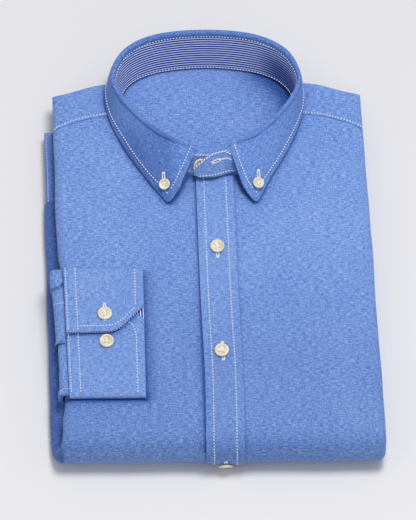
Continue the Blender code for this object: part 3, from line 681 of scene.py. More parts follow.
def standSurface(column, share, out):
    side, station = column
    low, high, facing = standLines(station, side)
    point = mix(low, high, share)
    slope = high - low
    square = facing
    if slope.length > 0.006 or station <= leafFront:
        square = (facing - slope * (facing.dot(slope) / slope.length_squared)).normalized()
    soft = 0.00018 * rumple(station * 0.03 * side, share * 0.02, 13.0, 0.012)
    point = point + square * (out + soft)
    return laid(side * point.x, point.y, point.z)


def standColumns():
    return mirrored(chained((0, leafFront, 84), (leafFront, leafFront + 1, 34)))


def leafLine(station, side):
    seam, foldAt, edge = (neckPoint(station, line) for line in (seamLine, foldLine, edgeLine))
    out = neckOut(station, foldLine)
    if side < 0:
        edge = edge + out * leaf["spread"] * smooth(station - 1.5) * (1 - smooth(station - 6))
    steep = smooth((station - 1.8) / 1.2) * (1 - smooth((station - 4.8) / 1.4))
    points = [mix(seam, foldAt, stand["share"] + 0.07)]
    tight = 1 - 0.92 * smooth((station - 6.0) / 0.9)  # the roll is pressed flat at the front
    for w, rise in zip(rollOut, rollRise):
        points.append(foldAt + out * w * (1 - 0.60 * steep) * tight + Vector((0, 0, rise * tight)))
    rolled = points[-1]
    for share in leafShares[5:]:
        t = (share - 0.3) / 0.7
        bulge = leaf["bulge"] * (1 - 0.85 * steep) * sin(pi * t)
        points.append(mix(rolled, edge, t) + out * bulge + Vector((0, 0, bulge * 0.5)))
    return points


def leafPoint(station, share, side):
    towardsFront, towardsEdge = 1 - (7 - station) / 0.17, 1 - (1 - share) / 0.10
    if towardsFront > 0 and towardsEdge > 0:  # the point of the collar is rounded
        shrink = max(towardsFront, towardsEdge) / hypot(towardsFront, towardsEdge)
        station, share = 7 - 0.17 * (1 - towardsFront * shrink), 1 - 0.10 * (1 - towardsEdge * shrink)
    front, fall = smooth(station - 6), smooth((share - 0.60) / 0.40)
    if side > 0:
        station -= 0.17 * (1 - smooth((share - 0.25) / 0.55)) * smooth(station - 5.6)
    for k, (a, b) in enumerate(zip(leafShares, leafShares[1:])):
        if share <= b or k == len(leafShares) - 2:
            point = spline(leafLine(station, side), k + (share - a) / (b - a))
            break
    forward = 0.0038 * (1 - smooth((share - 0.72) / 0.28)) + 0.0014 * sin(pi * share)
    return point + Vector((-forward, -0.0050 * fall, 0)) * front


leafCreases = (
    (-52, 108, -52, 17, 3.4, -0.55), (-66, 132, -70, 14, 3.0, -0.30), (-40, 84, -40, 10, 2.4, 0.30),
    (50, 104, 52, 17, 3.0, -0.60), (55, 100, 54, 14, 2.6, 0.35), (68, 138, 74, 12, 3.0, -0.30),
    (38, 80, 46, 10, 2.2, 0.25),
)


def leafSurface(column, share, out):
    side, station = column
    here = leafPoint(station, share, side)
    step = 0.01
    across = leafPoint(min(7, station + step), share, side) - leafPoint(max(0, station - step), share, side)
    along = leafPoint(station, min(1, share + step), side) - leafPoint(station, max(0, share - step), side)
    normal = across.cross(along).normalized()
    if share > 0.6 and normal.z < 0 and station > 5:
        normal = -normal
    fall = smooth((share - 0.3) / 0.2) * smooth((1 - share) / 0.08)
    inset = min((1 - share) * 0.058, (7 - station) * 0.024)  # about how far in from the nearest edge
    puffed = smooth(inset / 0.0022) - band(inset - leaf["stitchIn"], 0.0011)
    here = here + normal * (leaf["puff"] * puffed - 0.00025)
    x, y = side * here.x, here.y
    soft = (creased(leafCreases, x, y) + 0.00022 * rumple(x, y, 41.0, 0.018)) * fall
    point = here + normal * (out + soft)
    return laid(side * point.x, point.y, point.z)


def leafStations(rowIn, start=0.0, end=leafFront):
    # the leaf's edge row: a share so far in from the edge at each station
    found = []
    for s in steps(start, end, 150):
        long = (leafPoint(s, 1.0, 1) - leafPoint(s, 0.83, 1)).length / 0.17
        found.append((s, 1 - rowIn / long))
    return found


# painted shade: contact shadows along edges and shade where less light falls, put into the cloth's colour
def leafOutline(side):
    edge = [leafPoint(s, 1.0, side) for s in steps(1.5, 7, 160)]
    edge += [leafPoint(7, t, side) for t in steps(1.0, 0.35, 70)]
    return [Vector((side * p.x, p.y, 0)) for p in edge]


leafEdges = [p for side in (-1, 1) for p in leafOutline(side)]
leafTree = kdtree.KDTree(len(leafEdges))
for index, point in enumerate(leafEdges):
    leafTree.insert(point, index)
leafTree.balance()


def shadowUnderLeaf(x, y):
    # painted contact shadow along the collar leaf's edges
    away = leafTree.find(Vector((x, y, 0)))[2]
    return 0.75 * band(away, 0.0018) + 0.30 * band(away, 0.0050)


def shadeTowardsHem(y):
    # painted shade, darker towards the bottom fold: the light falling off down the chest
    return 0.20 * smooth((0.015 - y) / 0.125) + 0.12 * smooth((-0.142 - y) / 0.020)


def chestShade(x, y, z):
    # painted shade on the fronts: darker down the folded sides and lower layers, shadow lines beside the
    # placket's edges, round the cuff and along the yoke seam, with the shade towards the hem and under the
    # collar leaf
    side = abs(x) - fold["halfWidth"] + 0.0010
    if z < fold["stack"] - 0.006:
        return (0.74 if x < 0 else 0.10) * smooth(side / 0.002) + (0.12 if side < 0 else 0.0)
    middle = placketX(bendY - y)
    left, right = middle - placket["width"] / 2 - x, x - middle - placket["width"] / 2
    pressed = shadeTowardsHem(y) + shadowUnderLeaf(x, y)
    if y < placket["topY"] + 0.002:
        pressed += 0.70 * band(left, 0.0013) + 0.22 * band(left, 0.0045) + 0.30 * band(right, 0.0014)
    inside = smooth((x + 0.1240) / 0.002) * smooth((cuff["right"] + 0.003 - x) / 0.004)
    below, above = cuff["bottom"] - y, y - cuff["top"]
    pressed += inside * (0.65 * band(below, 0.0018) + 0.30 * band(below, 0.0050) + 0.35 * band(above, 0.0014))
    level = smooth((above * -1 + 0.002) / 0.006) * smooth((below * -1 + 0.003) / 0.006)
    beside = x - cuffX(cuff["right"], y)
    pressed += level * (0.40 * band(beside, 0.0022) + 0.34 * band(beside, 0.0075))
    seam = yokeSeamY(max(abs(x), neckHalfWidth)) - y
    return pressed + 0.65 * band(seam, 0.0008) + 0.22 * smooth(side / 0.003) * (1 if x < 0 else 0.4)


# the fronts
front = {
    "wall": 0.0009, "flatColumns": 96, "noseColumns": 12, "chestRows": 190, "bendRows": 34, "tailRows": 30,
}


def frontEndY(reach):
    if reach >= neckHalfWidth:
        return yokeSeamY(reach)
    for a, b in zip(neckFront, neckFront[1:]):
        if a.x <= reach <= b.x:
            y = mix(a.y, b.y, (reach - a.x) / max(1e-9, b.x - a.x))
            return min(y, yokeSeamY(neckHalfWidth))
    return yokeSeamY(neckHalfWidth)


def frontColumns():
    flat = steps(0.0002, 0.066, front["flatColumns"] // 2) + steps(0.067, neckHalfWidth - 1e-5, 4)
    flat += steps(neckHalfWidth + 1e-5, fold["halfWidth"] - sideNose, front["flatColumns"] // 2)
    columns = [("flat", d) for d in flat]
    columns += [("nose", t) for t in steps(0, pi, front["noseColumns"])[1:]]
    return columns + [("return", t * fold["sideReturn"]) for t in (0.25, 0.6, 1.0)]


def frontSurface(side):
    def surface(column, row, out):
        kind, amount = column
        stretch, share = row
        if kind == "flat":
            reach = amount
        elif kind == "nose":
            reach = fold["halfWidth"] - sideNose + sideNose * amount
        else:
            reach = fold["halfWidth"] - sideNose + sideNose * pi + amount
        start = bendY - frontEndY(reach) + 0.0001
        if stretch == "chest":
            along = mix(start, 0, share)
        elif stretch == "bend":
            along = bendLength * share
        else:
            x = side * reach if kind == "flat" else sideX(side, bendLength)
            along = mix(bendLength, hemAlong(x), share)
        edge = abs(sideX(side, along))
        if kind == "flat":
            x = side * amount * (edge - sideNose) / (fold["halfWidth"] - sideNose)
            x += placketX(along) * (1 - smooth(amount / 0.060))
            depth = -channel(x, along)
        elif kind == "nose":
            lumpy = 0.0007 * rumple(bendY - along, side * 2.0, 5.0, 0.034) * sin(amount)
            x = side * (edge - sideNose + (sideNose + out) * sin(amount) + lumpy)
            depth = -sideNose + (sideNose + out) * cos(amount) - out
        else:
            x, depth = side * (edge - sideNose - amount), -fold["leg"] - 2 * out
        y = bendY - along
        fade = sin(min(amount, pi)) if kind == "nose" else 0.0
        if kind != "return" and along <= 0:
            relief = chestRelief(x, y) * (1 - fade)
            seamDip = 0.00035 * smooth(1 - (along - start) / 0.0016) if stretch == "chest" else 0.0
            depth += relief * smooth((y - bendY + 0.001) / 0.02 + 0.3) - seamDip
        elif kind == "flat" and along >= bendLength:
            tailY = bendY + along - bendLength
            depth += min(0.0, creased(tailCreases, x, bendY + along) + creased(tailCreases, x, tailY))
        elif kind == "flat":
            turn = along / bendLength
            soft = 0.0004 * (rumple(x, turn * 0.04, 6.0, 0.03) - 0.5)
            depth += soft * sin(pi * turn) * smooth((abs(x) - 0.018) / 0.01)
        return onPath(x, along, out + depth)

    return surface


def buildFront(name, side, node):
    down = stretches(chest=front["chestRows"], bend=front["bendRows"], tail=front["tailRows"])

    def grain(column, row):
        kind, amount = column
        reach = {"flat": 0.0, "nose": fold["halfWidth"], "return": fold["halfWidth"] + 0.020}[kind]
        reach += amount * (sideNose if kind == "nose" else 1)
        stretch, share = row
        start = bendY - frontEndY(min(reach, fold["halfWidth"]))
        along = {"chest": mix(start, 0, share), "bend": bendLength * share, "tail": bendLength + 0.22 * share}
        return side * reach, along[stretch]

    made = cloth(name, frontColumns(), down, frontSurface(side), 0.0, front["wall"], bodyCloth, [node],
                 grain=grain, shade=chestShade)
    return made


buildFront("frontLeft", 1, "front_left")
buildFront("frontRight", -1, "front_right")
print("fronts done")

# the placket


def placketShade(x, y, z):
    # painted shade on the placket: darker where it lies low in the fold, under the collar stand, and towards
    # the hem
    if z < fold["stack"] - 0.008:
        return 0.20
    under = band(placket["topY"] + 0.001 - y, 0.0030)
    return 0.45 * under + shadeTowardsHem(y)


def placketSurface(share, along, out):
    x = placketX(along) + share * placket["width"] / 2
    edge = abs(share)
    rowAt = 1 - placket["stitchIn"] / (placket["width"] / 2)
    dip = 0.00016 * band(edge - rowAt, 0.055) * (1 + 0.7 * sin(along * 2 * pi / 0.0042 + share * 3))
    crown = 0.00022 * (1 - edge ** 4)
    uneven = 0.00010 * rumple(share * 0.02, along, 2.7, 0.016)
    y = bendY - along
    bow = 0.0012 * band(y + 0.100, 0.045) * (1 if along < 0 else 0)
    proud = 0.0005 * smooth((-share - 0.80) / 0.20)
    relief = crown + proud - dip + max(-0.0002, uneven)
    return onPath(x + bow, along, out + fold["gap"] - channel(x, along) + relief)


def buildPlacket():
    start = bendY - placket["topY"]
    down = chained((start, 0, 110), (0, bendLength, 40), (bendLength, hemAlong(0) - 0.001, 70))
    made = cloth("placketCloth", steps(-1, 1, placket["columns"]), down, placketSurface, fold["wall"],
                 placket["wall"], sewnCloth, ["placket"], shade=placketShade)
    runs = []
    rowAt = 1 - placket["stitchIn"] / (placket["width"] / 2)
    for share in (-rowAt, rowAt):
        row = straight((share, start + 0.002), (share, hemAlong(0) - 0.003), 400)
        sewRow(runs, placketSurface, fold["wall"], row)
    threadPiece("placketStitches", runs)


buildPlacket()
print("placket done")

# the yoke
yoke = {"wall": 0.0009, "sideNose": 0.0052}
shoulderLine = ((0.0, 0.1860), (0.037, 0.1820), (0.059, 0.1734), (0.068, 0.1690), (0.079, 0.1656),
                (fold["halfWidth"], 0.1536))


def yokeTop(x, y):
    return chestTop(y) - 0.0070 * smooth((y - 0.138) / 0.042) * (1 - smooth((abs(x) - 0.066) / 0.030))


def yokeFold(x):
    # where the yoke turns down over the shoulder, and how round it is there
    edge = reading(shoulderLine, abs(x))
    return edge, (yokeTop(x, edge) - fold["backZ"]) / 2


def yokeSurface(column, row, out):
    x, neckY = column
    stretch, share = row
    edge, nose = yokeFold(x)
    middle = fold["backZ"] + nose
    start = neckY if neckY else yokeSeamY(max(abs(x), neckHalfWidth)) - 0.0001
    if stretch == "top":
        y = mix(start, edge - nose, share)
        z = yokeTop(x, y) + out
        inFromSeam = y - start
        z += 0.00022 * smooth(1 - abs(inFromSeam - 0.0012) / 0.0022)
        z -= 0.00014 * smooth(1 - inFromSeam / 0.0004)
        z += 0.00020 * rumple(x, y, 11.0, 0.020) * smooth(inFromSeam / 0.008) - 0.0001
    elif stretch == "nose":
        y = edge - nose + (nose + out) * sin(pi * share)
        z = middle + (nose + out) * cos(pi * share)
    else:
        end = fold["yokeTurnY"] + 0.00015
        if abs(x) > fold["halfWidth"] - sideNose - 0.0002:
            end = yokeSeamY(fold["halfWidth"]) + 0.001
        y = mix(edge - nose, end, share)
        z = fold["backZ"] - out
    inset = (fold["halfWidth"] - abs(x)) / yoke["sideNose"]
    if inset < 1:
        z = middle + (z - middle) * max(0.07, sqrt(max(0.0, 1 - (1 - inset) ** 2)))
    return laid(x, y, z)


def yokeColumns():
    half = [(neckEdge(s).x, neckEdge(s).y + 0.0001) for s in steps(0, 3.0, 26)]
    corner = neckEdge(neckWidest)
    half.append((mix(half[-1][0], corner.x, 0.6), mix(half[-1][1], corner.y, 0.35)))
    outer = steps(neckHalfWidth + 0.0001, fold["halfWidth"] - yoke["sideNose"], 26)
    outer += [fold["halfWidth"] - yoke["sideNose"] * (1 - sin(t)) for t in steps(0, pi / 2, 10)[1:]]
    half += [(x, None) for x in outer]
    return [(-x, y) for x, y in reversed(half[1:])] + half


def buildYoke():
    down = stretches(top=22, nose=14, under=16)

    def grain(column, row):
        x, neckY = column
        stretch, share = row
        edge, nose = yokeFold(x)
        if stretch == "top":
            return x, mix(neckY or yokeSeamY(max(abs(x), neckHalfWidth)), edge - nose, share)
        return x, edge - nose + (pi * nose * share if stretch == "nose" else pi * nose + 0.06 * share)

    def shade(x, y, z):
        # painted shade on the yoke: darker under the collar leaf's edges, and the yoke's top a little darker
        # all over
        return 0.05 + 0.6 * shadowUnderLeaf(x, y) if z > fold["backZ"] + 0.001 else 0.0

    made = cloth("yokeCloth", yokeColumns(), down, yokeSurface, 0.0, yoke["wall"], bodyCloth, ["yoke"],
                 grain=grain, shade=shade)

    def seamRow(x, inset, out):
        edge, nose = yokeFold(x)
        return yokeSurface((x, None), ("top", inset / (edge - nose - yokeSeamY(abs(x)))), out)

    runs = []
    for side in (-1, 1):
        row = [(side * x, 0.0017) for x in steps(neckHalfWidth + 0.004, fold["halfWidth"] - 0.0012, 60)]
        sewRow(runs, seamRow, 0.0, row)
    threadPiece("yokeStitches", runs)


buildYoke()


# inside the neck
insideCreases = (
    (-30, 140, 20, 22, 3.0, 0.5), (14, 122, -6, 26, 2.6, -0.5), (34, 150, -28, 18, 2.4, 0.45),
    (-12, 164, 4, 24, 2.4, -0.4), (-8, 104, 10, 14, 2.2, 0.35),
)


def buildYokeInside():
    margin = 0.0011
    back, frontY = neckEdge(0, margin).y, neckEdge(7, 0).y + 0.0010
    outline = [neckEdge(s, margin) for s in steps(0, 7, 120)]

    def halfAt(y):
        best = 0.004
        for a, b in zip(outline, outline[1:]):
            if min(a.y, b.y) <= y <= max(a.y, b.y):
                best = max(best, mix(a.x, b.x, (y - a.y) / ((b.y - a.y) or 1)))
        return best

    widths = {}

    def surface(share, t, out):
        y = mix(frontY, back, t)
        if t not in widths:
            widths[t] = halfAt(y)
        x = share * widths[t]
        z = fold["stack"] - fold["leg"] + 0.0010 + out
        z += 0.0004 * rumple(x, y, 21.0, 0.03) + creased(insideCreases, x, y)
        return laid(x, y, z)

    rimTree = kdtree.KDTree(2 * len(outline))
    for k, p in enumerate(outline):
        rimTree.insert(Vector((p.x, p.y, 0)), 2 * k)
        rimTree.insert(Vector((-p.x, p.y, 0)), 2 * k + 1)
    rimTree.balance()

    def insideShade(x, y, z):
        # painted shade inside the neck: a shadow round its rim, deeper on the +x side, where the collar
        # shades it
        away = rimTree.find(Vector((x, y, 0)))[2]
        toRight = smooth((x - 0.015) / 0.045) * smooth((y - 0.110) / 0.030)
        return 0.45 * band(away, 0.0030) + toRight * (0.80 * band(away, 0.0120) + 0.50 * band(away, 0.0240))

    down = steps(0, 0.9, 40) + [1 - 0.1 * (1 - t) ** 2 for t in steps(0, 1, 12)[1:]]
    made = cloth("yokeInside", steps(-1, 1, 44), down, surface, 0.0, yoke["wall"], bodyCloth, ["yoke_inside"],
                 shade=insideShade)


buildYokeInside()


# the back, seen underneath
def buildBack():
    def surface(x, y, out):
        return laid(x, y, fold["backZ"] - out + 0.0004 * rumple(x, y, 31.0, 0.03) + 0.0003)

    half = fold["halfWidth"] - 0.004
    down = steps(0.020, fold["yokeTurnY"] - 0.0001, 26)
    made = cloth("backCloth", steps(-half, half, 60), down, surface, 0.0, yoke["wall"], bodyCloth, ["back"])
    runs = []
    row = [(x, fold["yokeTurnY"] + 0.0018) for x in steps(-half, half, 60)]
    sewRow(runs, lambda x, y, out: laid(x, y, fold["backZ"] - out), 0.0, row)
    threadPiece("backSeamStitches", runs)


buildBack()
print("yoke and back done")


# hidden layers, shown only at the edges
def carved(piece, cutter):
    # the piece less the cutter, which isn't kept
    cut = piece.modifiers.new("cut", "BOOLEAN")
    cut.operation, cut.object = "DIFFERENCE", cutter
    mesh = evaluated(piece)
    piece.modifiers.clear()
    piece.data = mesh
    bpy.data.objects.remove(cutter)
    return mesh


def neckWell():
    bm = bmesh.new()
    half = [neckEdge(s) for s in steps(0, 7, 60)]
    rim = [(p.x, p.y) for p in half] + [(-p.x, p.y) for p in half[:0:-1]]
    face = bm.faces.new([bm.verts.new(laid(x, y, 0.012)) for x, y in rim])
    up = bmesh.ops.extrude_face_region(bm, geom=[face])["geom"]
    bmesh.ops.translate(bm, verts=[v for v in up if isinstance(v, bmesh.types.BMVert)], vec=(0, 0, 0.03))
    bmesh.ops.recalc_face_normals(bm, faces=bm.faces)
    return loose("neckWell", bm)


def buildFoldedLayers():
    clear = fold["wall"] + fold["gap"] + 0.0006
    nose = sideNose - clear
    start = bendY - 0.1360
    down = chained((start, 0, 16), (0, bendLength, 22), (bendLength, hemAlong(fold["halfWidth"]) - 0.001, 14))
    flat = [-1.0, -0.7, -0.5] + [-0.33, -0.26, -0.21, -0.15, 0.15, 0.21, 0.26, 0.33] + [0.5, 0.7, 1.0]
    ring = [("outer", t) for t in flat] + [("right", t) for t in steps(0, pi, 16)[1:-1]]
    ring += [("inner", t) for t in (1.0, 0.0, -1.0)] + [("left", t) for t in steps(pi, 0, 16)[1:-1]]
    ring.append(ring[0])

    def surface(corner, along, out):
        kind, amount = corner
        left = sideX(-1, along) + fold["sidePinch"] + clear + nose
        right = sideX(1, along) - clear - nose
        if kind in ("outer", "inner"):
            reach = right if amount > 0 else -left
            middle = placketX(along)
            x = middle + amount * (reach - middle * (1 if amount > 0 else -1))
            depth = -clear - channel(x, along) if kind == "outer" else clear - fold["leg"]
            if kind == "outer":
                depth -= 0.0010 * smooth((bendY - along - 0.010) / 0.030)
        else:
            layered = nose - 0.0009 * abs(sin(amount * 3))
            x = right + layered * sin(amount) if kind == "right" else left - layered * sin(amount)
            depth = -sideNose + nose * cos(amount)
        return onPath(x, along, depth)

    made = cloth("foldedLayers", ring, down, surface, 0.0, 0, bodyCloth, ["folded_layers"],
                 closed=True, capped=True)
    carved(made, neckWell())


buildFoldedLayers()

sleeve = {"inner": 0.0150, "outer": 0.1210, "endY": 0.1480, "layers": 4, "facets": 10, "groove": 0.0018}


def buildFoldedSleeve(name, side, node):
    thick = fold["backZ"] - fold["gap"]
    count = sleeve["layers"] * sleeve["facets"]
    rolls = []
    for i in range(count + 1):
        rounding = sqrt(abs(sin(pi * i / sleeve["facets"])))
        rolls.append((thick * i / count, sleeve["groove"] * (1 - rounding)))
    between = [mix(sleeve["inner"] + 0.010, sleeve["outer"] - 0.010, t) for t in steps(0, 1, 12)]
    ring = [(sleeve["outer"] - groove - 0.0025 * z / thick, z, groove) for z, groove in rolls]
    ring += [(x, thick, 0.0) for x in reversed(between)]
    ring += [(sleeve["inner"] + groove + 0.0040 * z / thick, z, groove) for z, groove in reversed(rolls)]
    ring += [(x, 0.0, 0.0) for x in between]
    ring.append(ring[0])
    ends = [0.0, 0.01, 0.03, 0.06] + steps(0.1, 0.9, 14) + [0.94, 0.97, 0.99, 1.0]

    def surface(corner, share, out):
        x, z, groove = corner
        first = fold["hemY"] + fold["hemRise"] * (1 - (x / fold["halfWidth"]) ** 2) + 0.0006
        last = sleeve["endY"] - 0.0030 * z / thick
        layer = z / thick * sleeve["layers"]
        if groove < sleeve["groove"] * 0.6:
            x += 0.0008 * rumple(share * 0.08, layer, side * 4.0, 0.02)
        rounded = sqrt(max(0.0, 1 - max(0.0, (share - 0.97) / 0.03) ** 2))
        y = mix(first, last, share) - groove * smooth((share - 0.9) / 0.1)
        return laid(side * x, y, mix(thick / 2, z, 0.9 + 0.1 * rounded))

    made = cloth(name, ring, ends, surface, 0.0, 0, bodyCloth, [node], closed=True, capped=True)


buildFoldedSleeve("sleeveLeft", 1, "sleeve_left")
buildFoldedSleeve("sleeveRight", -1, "sleeve_right")

otherCuff = {"left": -0.1326, "right": -0.0900, "low": 0.0626, "high": 0.1263, "top": 0.0112, "wall": 0.0021}


def buildOtherCuff():
    def surface(x, y, out):
        puff = 0.0003 * smooth((x - otherCuff["left"]) / 0.003) + 0.0002 * rumple(x, y, 17.0, 0.012)
        return laid(x, y, otherCuff["top"] + out + puff)

    o = otherCuff
    # painted shade: this cuff, low at the side, is darker all over
    made = cloth("cuffLeft", steps(o["left"], o["right"], 30), steps(o["low"], o["high"], 44), surface, 0.0,
                 o["wall"], sewnCloth, ["cuff_left"], shade=lambda x, y, z: 0.40)
    runs = []
    x, end = o["left"] + 0.0017, o["high"]
    for line in (straight((x, o["low"] + 0.0015), (x, end - 0.0015)),
                 straight((x, end - 0.0017), (o["left"] + 0.0400, end - 0.0017))):
        sewRow(runs, surface, 0.0001, line, radius=0.00028)
    threadPiece("cuffLeftStitches", runs)


buildOtherCuff()
print("hidden layers done")

# sewing the collar
def buildCollar():
    face = stand["wall"] + 0.0002
    made = cloth("collarStand", standColumns(), steps(0, 1, 8), standSurface, face, stand["wall"], sewnCloth,
                 ["collar_stand"])

    def reach(station):
        return 1.115 - 0.155 * smooth((station - 5.2) / 1.3)  # up under the roll, but short of the ends' edge

    def liningSurface(column, share, out):
        return standSurface(column, share * reach(column[1]), -out)

    def grain(column, share):
        low, high, _ = standLines(column[1], column[0])
        return column[0] * column[1] * 0.03, share * reach(column[1]) * (high - low).length

    # the lining gets painted shade low down towards its end on the +x side
    made = cloth("standLining", standColumns(), steps(0, 1, 10), liningSurface, fold["gap"] + stand["wall"],
                 stand["wall"], collarStripes, ["collar_stand_lining"], grain=grain,
                 shade=lambda x, y, z: 0.90 * smooth((x - 0.038) / 0.022) * smooth((0.048 - z) / 0.014))
    down = chained((0, 0.3, 16), (0.3, 1.0, 26))

    def shade(x, y, z):
        # painted shade on the collar leaf: along the top of the roll, towards the back, and on the lower
        # left, which turns away from the light
        roll = smooth(1.4 - abs(z - 0.0505) * 700)
        low = smooth((-0.022 - x) / 0.014) * smooth((0.125 - y) / 0.030)
        return 0.16 * roll + 0.26 * smooth((y - 0.120) / 0.04) + 0.36 * low

    across = mirrored(steps(0, leafFront, 110))
    made = cloth("collarLeaf", across, down, leafSurface, leaf["wall"], leaf["wall"], leafCloth,
                 ["collar_leaf"], shade=shade)

    runs = []
    for side in (-1, 1):
        def onLeaf(station, share, out, side=side):
            return leafSurface((side, station), share, out)

        sewRow(runs, onLeaf, leaf["wall"], leafStations(leaf["stitchIn"], 0.0, 6.84))
        inner = [(6.84 - 0.05 * smooth((share - 0.5) / 0.4), share) for share in steps(0.22, 0.86, 60)]
        sewRow(runs, onLeaf, leaf["wall"], inner)

        def onStand(station, share, out, side=side):
            return standSurface((side, station), share, out)

        ends = steps(leafFront - 0.15, leafFront + 0.97, 60)
        sewRow(runs, onStand, face + 0.0001, [(s, 0.95) for s in ends], lean=0.5, pitch=0.0027, length=0.0026,
               radius=0.00046)
        sewRow(runs, onStand, face, [(s, 0.10) for s in steps(leafFront - 0.15, leafFront + 0.92, 50)])
        inside = -fold["gap"] - stand["wall"]
        for share, last in ((1.085, 5.6), (0.03, 7.4)):
            line = [(s, share) for s in steps(0, last, 140)]
            sewRow(runs, onStand, inside, line, sign=-1)
    threadPiece("collarStitches", runs)


buildCollar()
print("collar done")

# the cuff on the chest
underZ = cuff["z"] + fold["wall"] + fold["gap"] + cuff["facing"] + fold["gap"] + fold["wall"]
overZ = underZ + fold["gap"] + fold["wall"]


def ramped(t, soft):
    # 0 before a corner, t after it, rounded between
    if t < -soft:
        return 0.0
    return t if t > soft else (t + soft) ** 2 / (4 * soft)


def flapEnd(x):
    base = cuff["flapY"] + 0.024 * (x - cuff["left"])
    return base + 0.98 * ramped(x + 0.0800, 0.007)


def underlapEnd(x):
    return cuff["underlapY"] - 0.80 * ramped(x + 0.0690, 0.003)


def cuffPuff(x, y):
    edge = min(x - cuff["left"], cuff["right"] - x, 0.012)
    puff = 0.00040 * smooth(edge / 0.006) + 0.00020 * rumple(x, y, 51.0, 0.014)
    for inset in cuff["wristRows"]:
        puff -= 0.00020 * band(x - cuff["left"] - inset, 0.0008)
    puff -= 0.00022 * band(cuff["right"] - cuff["edgeRow"] - x, 0.0009)
    return puff


def cuffShade(x, y, z):
    # painted shade on the cuff: the flap's shadow on the underlap, a shadow line along its sleeve edge, and
    # darker low down
    under = 0.0
    if z < overZ + 0.0002 and y < flapEnd(x) + 0.0005 and z > underZ - 0.001:
        away = flapEnd(x) - y
        under = 0.65 * band(away, 0.0016) + 0.28 * band(away, 0.0042)
    return under + 0.35 * band(x - cuff["left"], 0.0007) + 0.4 * smooth((underZ - 0.0022 - z) / 0.001)


def cuffSurface(x, row, out):
    stretch, t = row
    lowNose, highNose = (underZ - cuff["z"]) / 2, (overZ - cuff["z"]) / 2
    turn = pi * t
    if stretch == "underlap":
        y = mix(underlapEnd(x), cuff["bottom"] + lowNose, t)
        z = underZ + out + cuffPuff(x, y) * smooth((-0.064 - y) / 0.012)
    elif stretch == "lowNose":
        y = cuff["bottom"] + lowNose - (lowNose + out) * sin(turn)
        z = cuff["z"] + lowNose + (lowNose + out) * cos(turn)
    elif stretch == "bottom":
        y, z = mix(cuff["bottom"] + lowNose, cuff["top"] - highNose, t), cuff["z"] - out
    elif stretch == "highNose":
        y = cuff["top"] - highNose + (highNose + out) * sin(turn)
        z = cuff["z"] + highNose - (highNose + out) * cos(turn)
    else:
        end = flapEnd(x)
        y = mix(cuff["top"] - highNose, end, t)
        z = overZ + out + max(0.0, cuffPuff(x, y)) + cuff["lift"] * smooth(1 - (y - end) / 0.014)
    return laid(cuffX(x, y), y, z)


def onFlap(x, y, out):
    highNose = (overZ - cuff["z"]) / 2
    end = flapEnd(x)
    return cuffSurface(x, ("flap", (y - cuff["top"] + highNose) / (end - cuff["top"] + highNose)), out)


def onUnderlap(x, y, out):
    lowNose = (underZ - cuff["z"]) / 2
    end = underlapEnd(x)
    return cuffSurface(x, ("underlap", (y - end) / (cuff["bottom"] + lowNose - end)), out)


def buildCuff():
    across = steps(cuff["left"], cuff["right"], 62)
    down = stretches(underlap=44, lowNose=12, bottom=8, highNose=12, flap=48)
    made = cloth("cuffRight", across, down, cuffSurface, 0.0, 0.0010, sewnCloth, ["cuff_right"],
                 shade=cuffShade)

    def facingSurface(x, y, out):
        return laid(cuffX(x, y), y, cuff["z"] + fold["wall"] + fold["gap"] + cuff["facing"] + 0.0002 + out)

    inset = fold["wall"] + fold["gap"] + 0.0010
    made = cloth("cuffFacing", steps(cuff["left"] + 0.001, cuff["right"] - 0.0003, 30),
                 steps(cuff["bottom"] + inset, cuff["top"] - inset, 40), facingSurface, 0.0, 0.0008,
                 cuffStripes, ["cuff_facing"])

    def flapLining(x, t, out):
        end = flapEnd(x) - 0.0004
        y = mix(end + 0.012, end, t)
        point = onFlap(x, max(y, flapEnd(x)), 0.0)
        point.z -= 0.0011 - out
        point.y = (laid(x, y, 0)).y
        return point

    across = steps(cuff["left"] + 0.0004, cuff["right"] - 0.0004, 50)
    made = cloth("cuffFlapLining", across, steps(0, 1, 6), flapLining, 0.0, 0.0006, cuffStripes)

    runs = []
    for inset in cuff["wristRows"]:
        x = cuff["left"] + inset
        sewRow(runs, onFlap, 0.0, straight((x, cuff["top"] - 0.0030), (x, flapEnd(x) + 0.0010), 60))
        nose = [(x, ("highNose", t)) for t in steps(0.45, 0.98, 10)]
        sewRow(runs, cuffSurface, 0.0, nose)
        sewRow(runs, onUnderlap, 0.0, straight((x, flapEnd(x) + 0.002), (x, cuff["bottom"] + 0.0032), 60))
    rowX = cuff["right"] - cuff["edgeRow"]
    sewRow(runs, onFlap, 0.0, straight((rowX, cuff["top"] - 0.003), (rowX, flapEnd(rowX) + 0.0075), 40))
    mitre = [(x, flapEnd(x) + 0.0052) for x in steps(cuff["left"] + 0.0098, rowX - 0.0004, 80)]
    sewRow(runs, onFlap, 0.0, mitre)
    corner = ((-0.0720, -0.0558), (-0.0680, -0.0578), (rowX - 0.0004, -0.0650), (rowX + 0.0001, -0.0790))
    lower = path(corner, 14) + straight((rowX, -0.0792), (rowX, cuff["bottom"] + 0.0036), 30)
    sewRow(runs, onUnderlap, 0.0, lower)
    threadPiece("cuffStitches", runs)


buildCuff()
print("cuff done")

# the sleeve that brings the cuff round the side
wrist = {"half": 0.0013, "wall": 0.0008, "low": -0.1180, "high": -0.0092, "deep": 0.0050}
wristRolls = ((-0.1185, 0.0020), (-0.0930, 0.0016), (-0.0710, 0.0022), (-0.0550, 0.0029), (-0.0312, 0.0040),
              (-0.0216, 0.0052), (-0.0085, 0.0057))  # y, how far it rolls out past the side fold


wristPleats = (
    (-0.0340, 0.0030, 0.30), (-0.0500, 0.0040, -0.25), (-0.0865, 0.0016, -0.40), (-0.0990, 0.0030, 0.3),
)


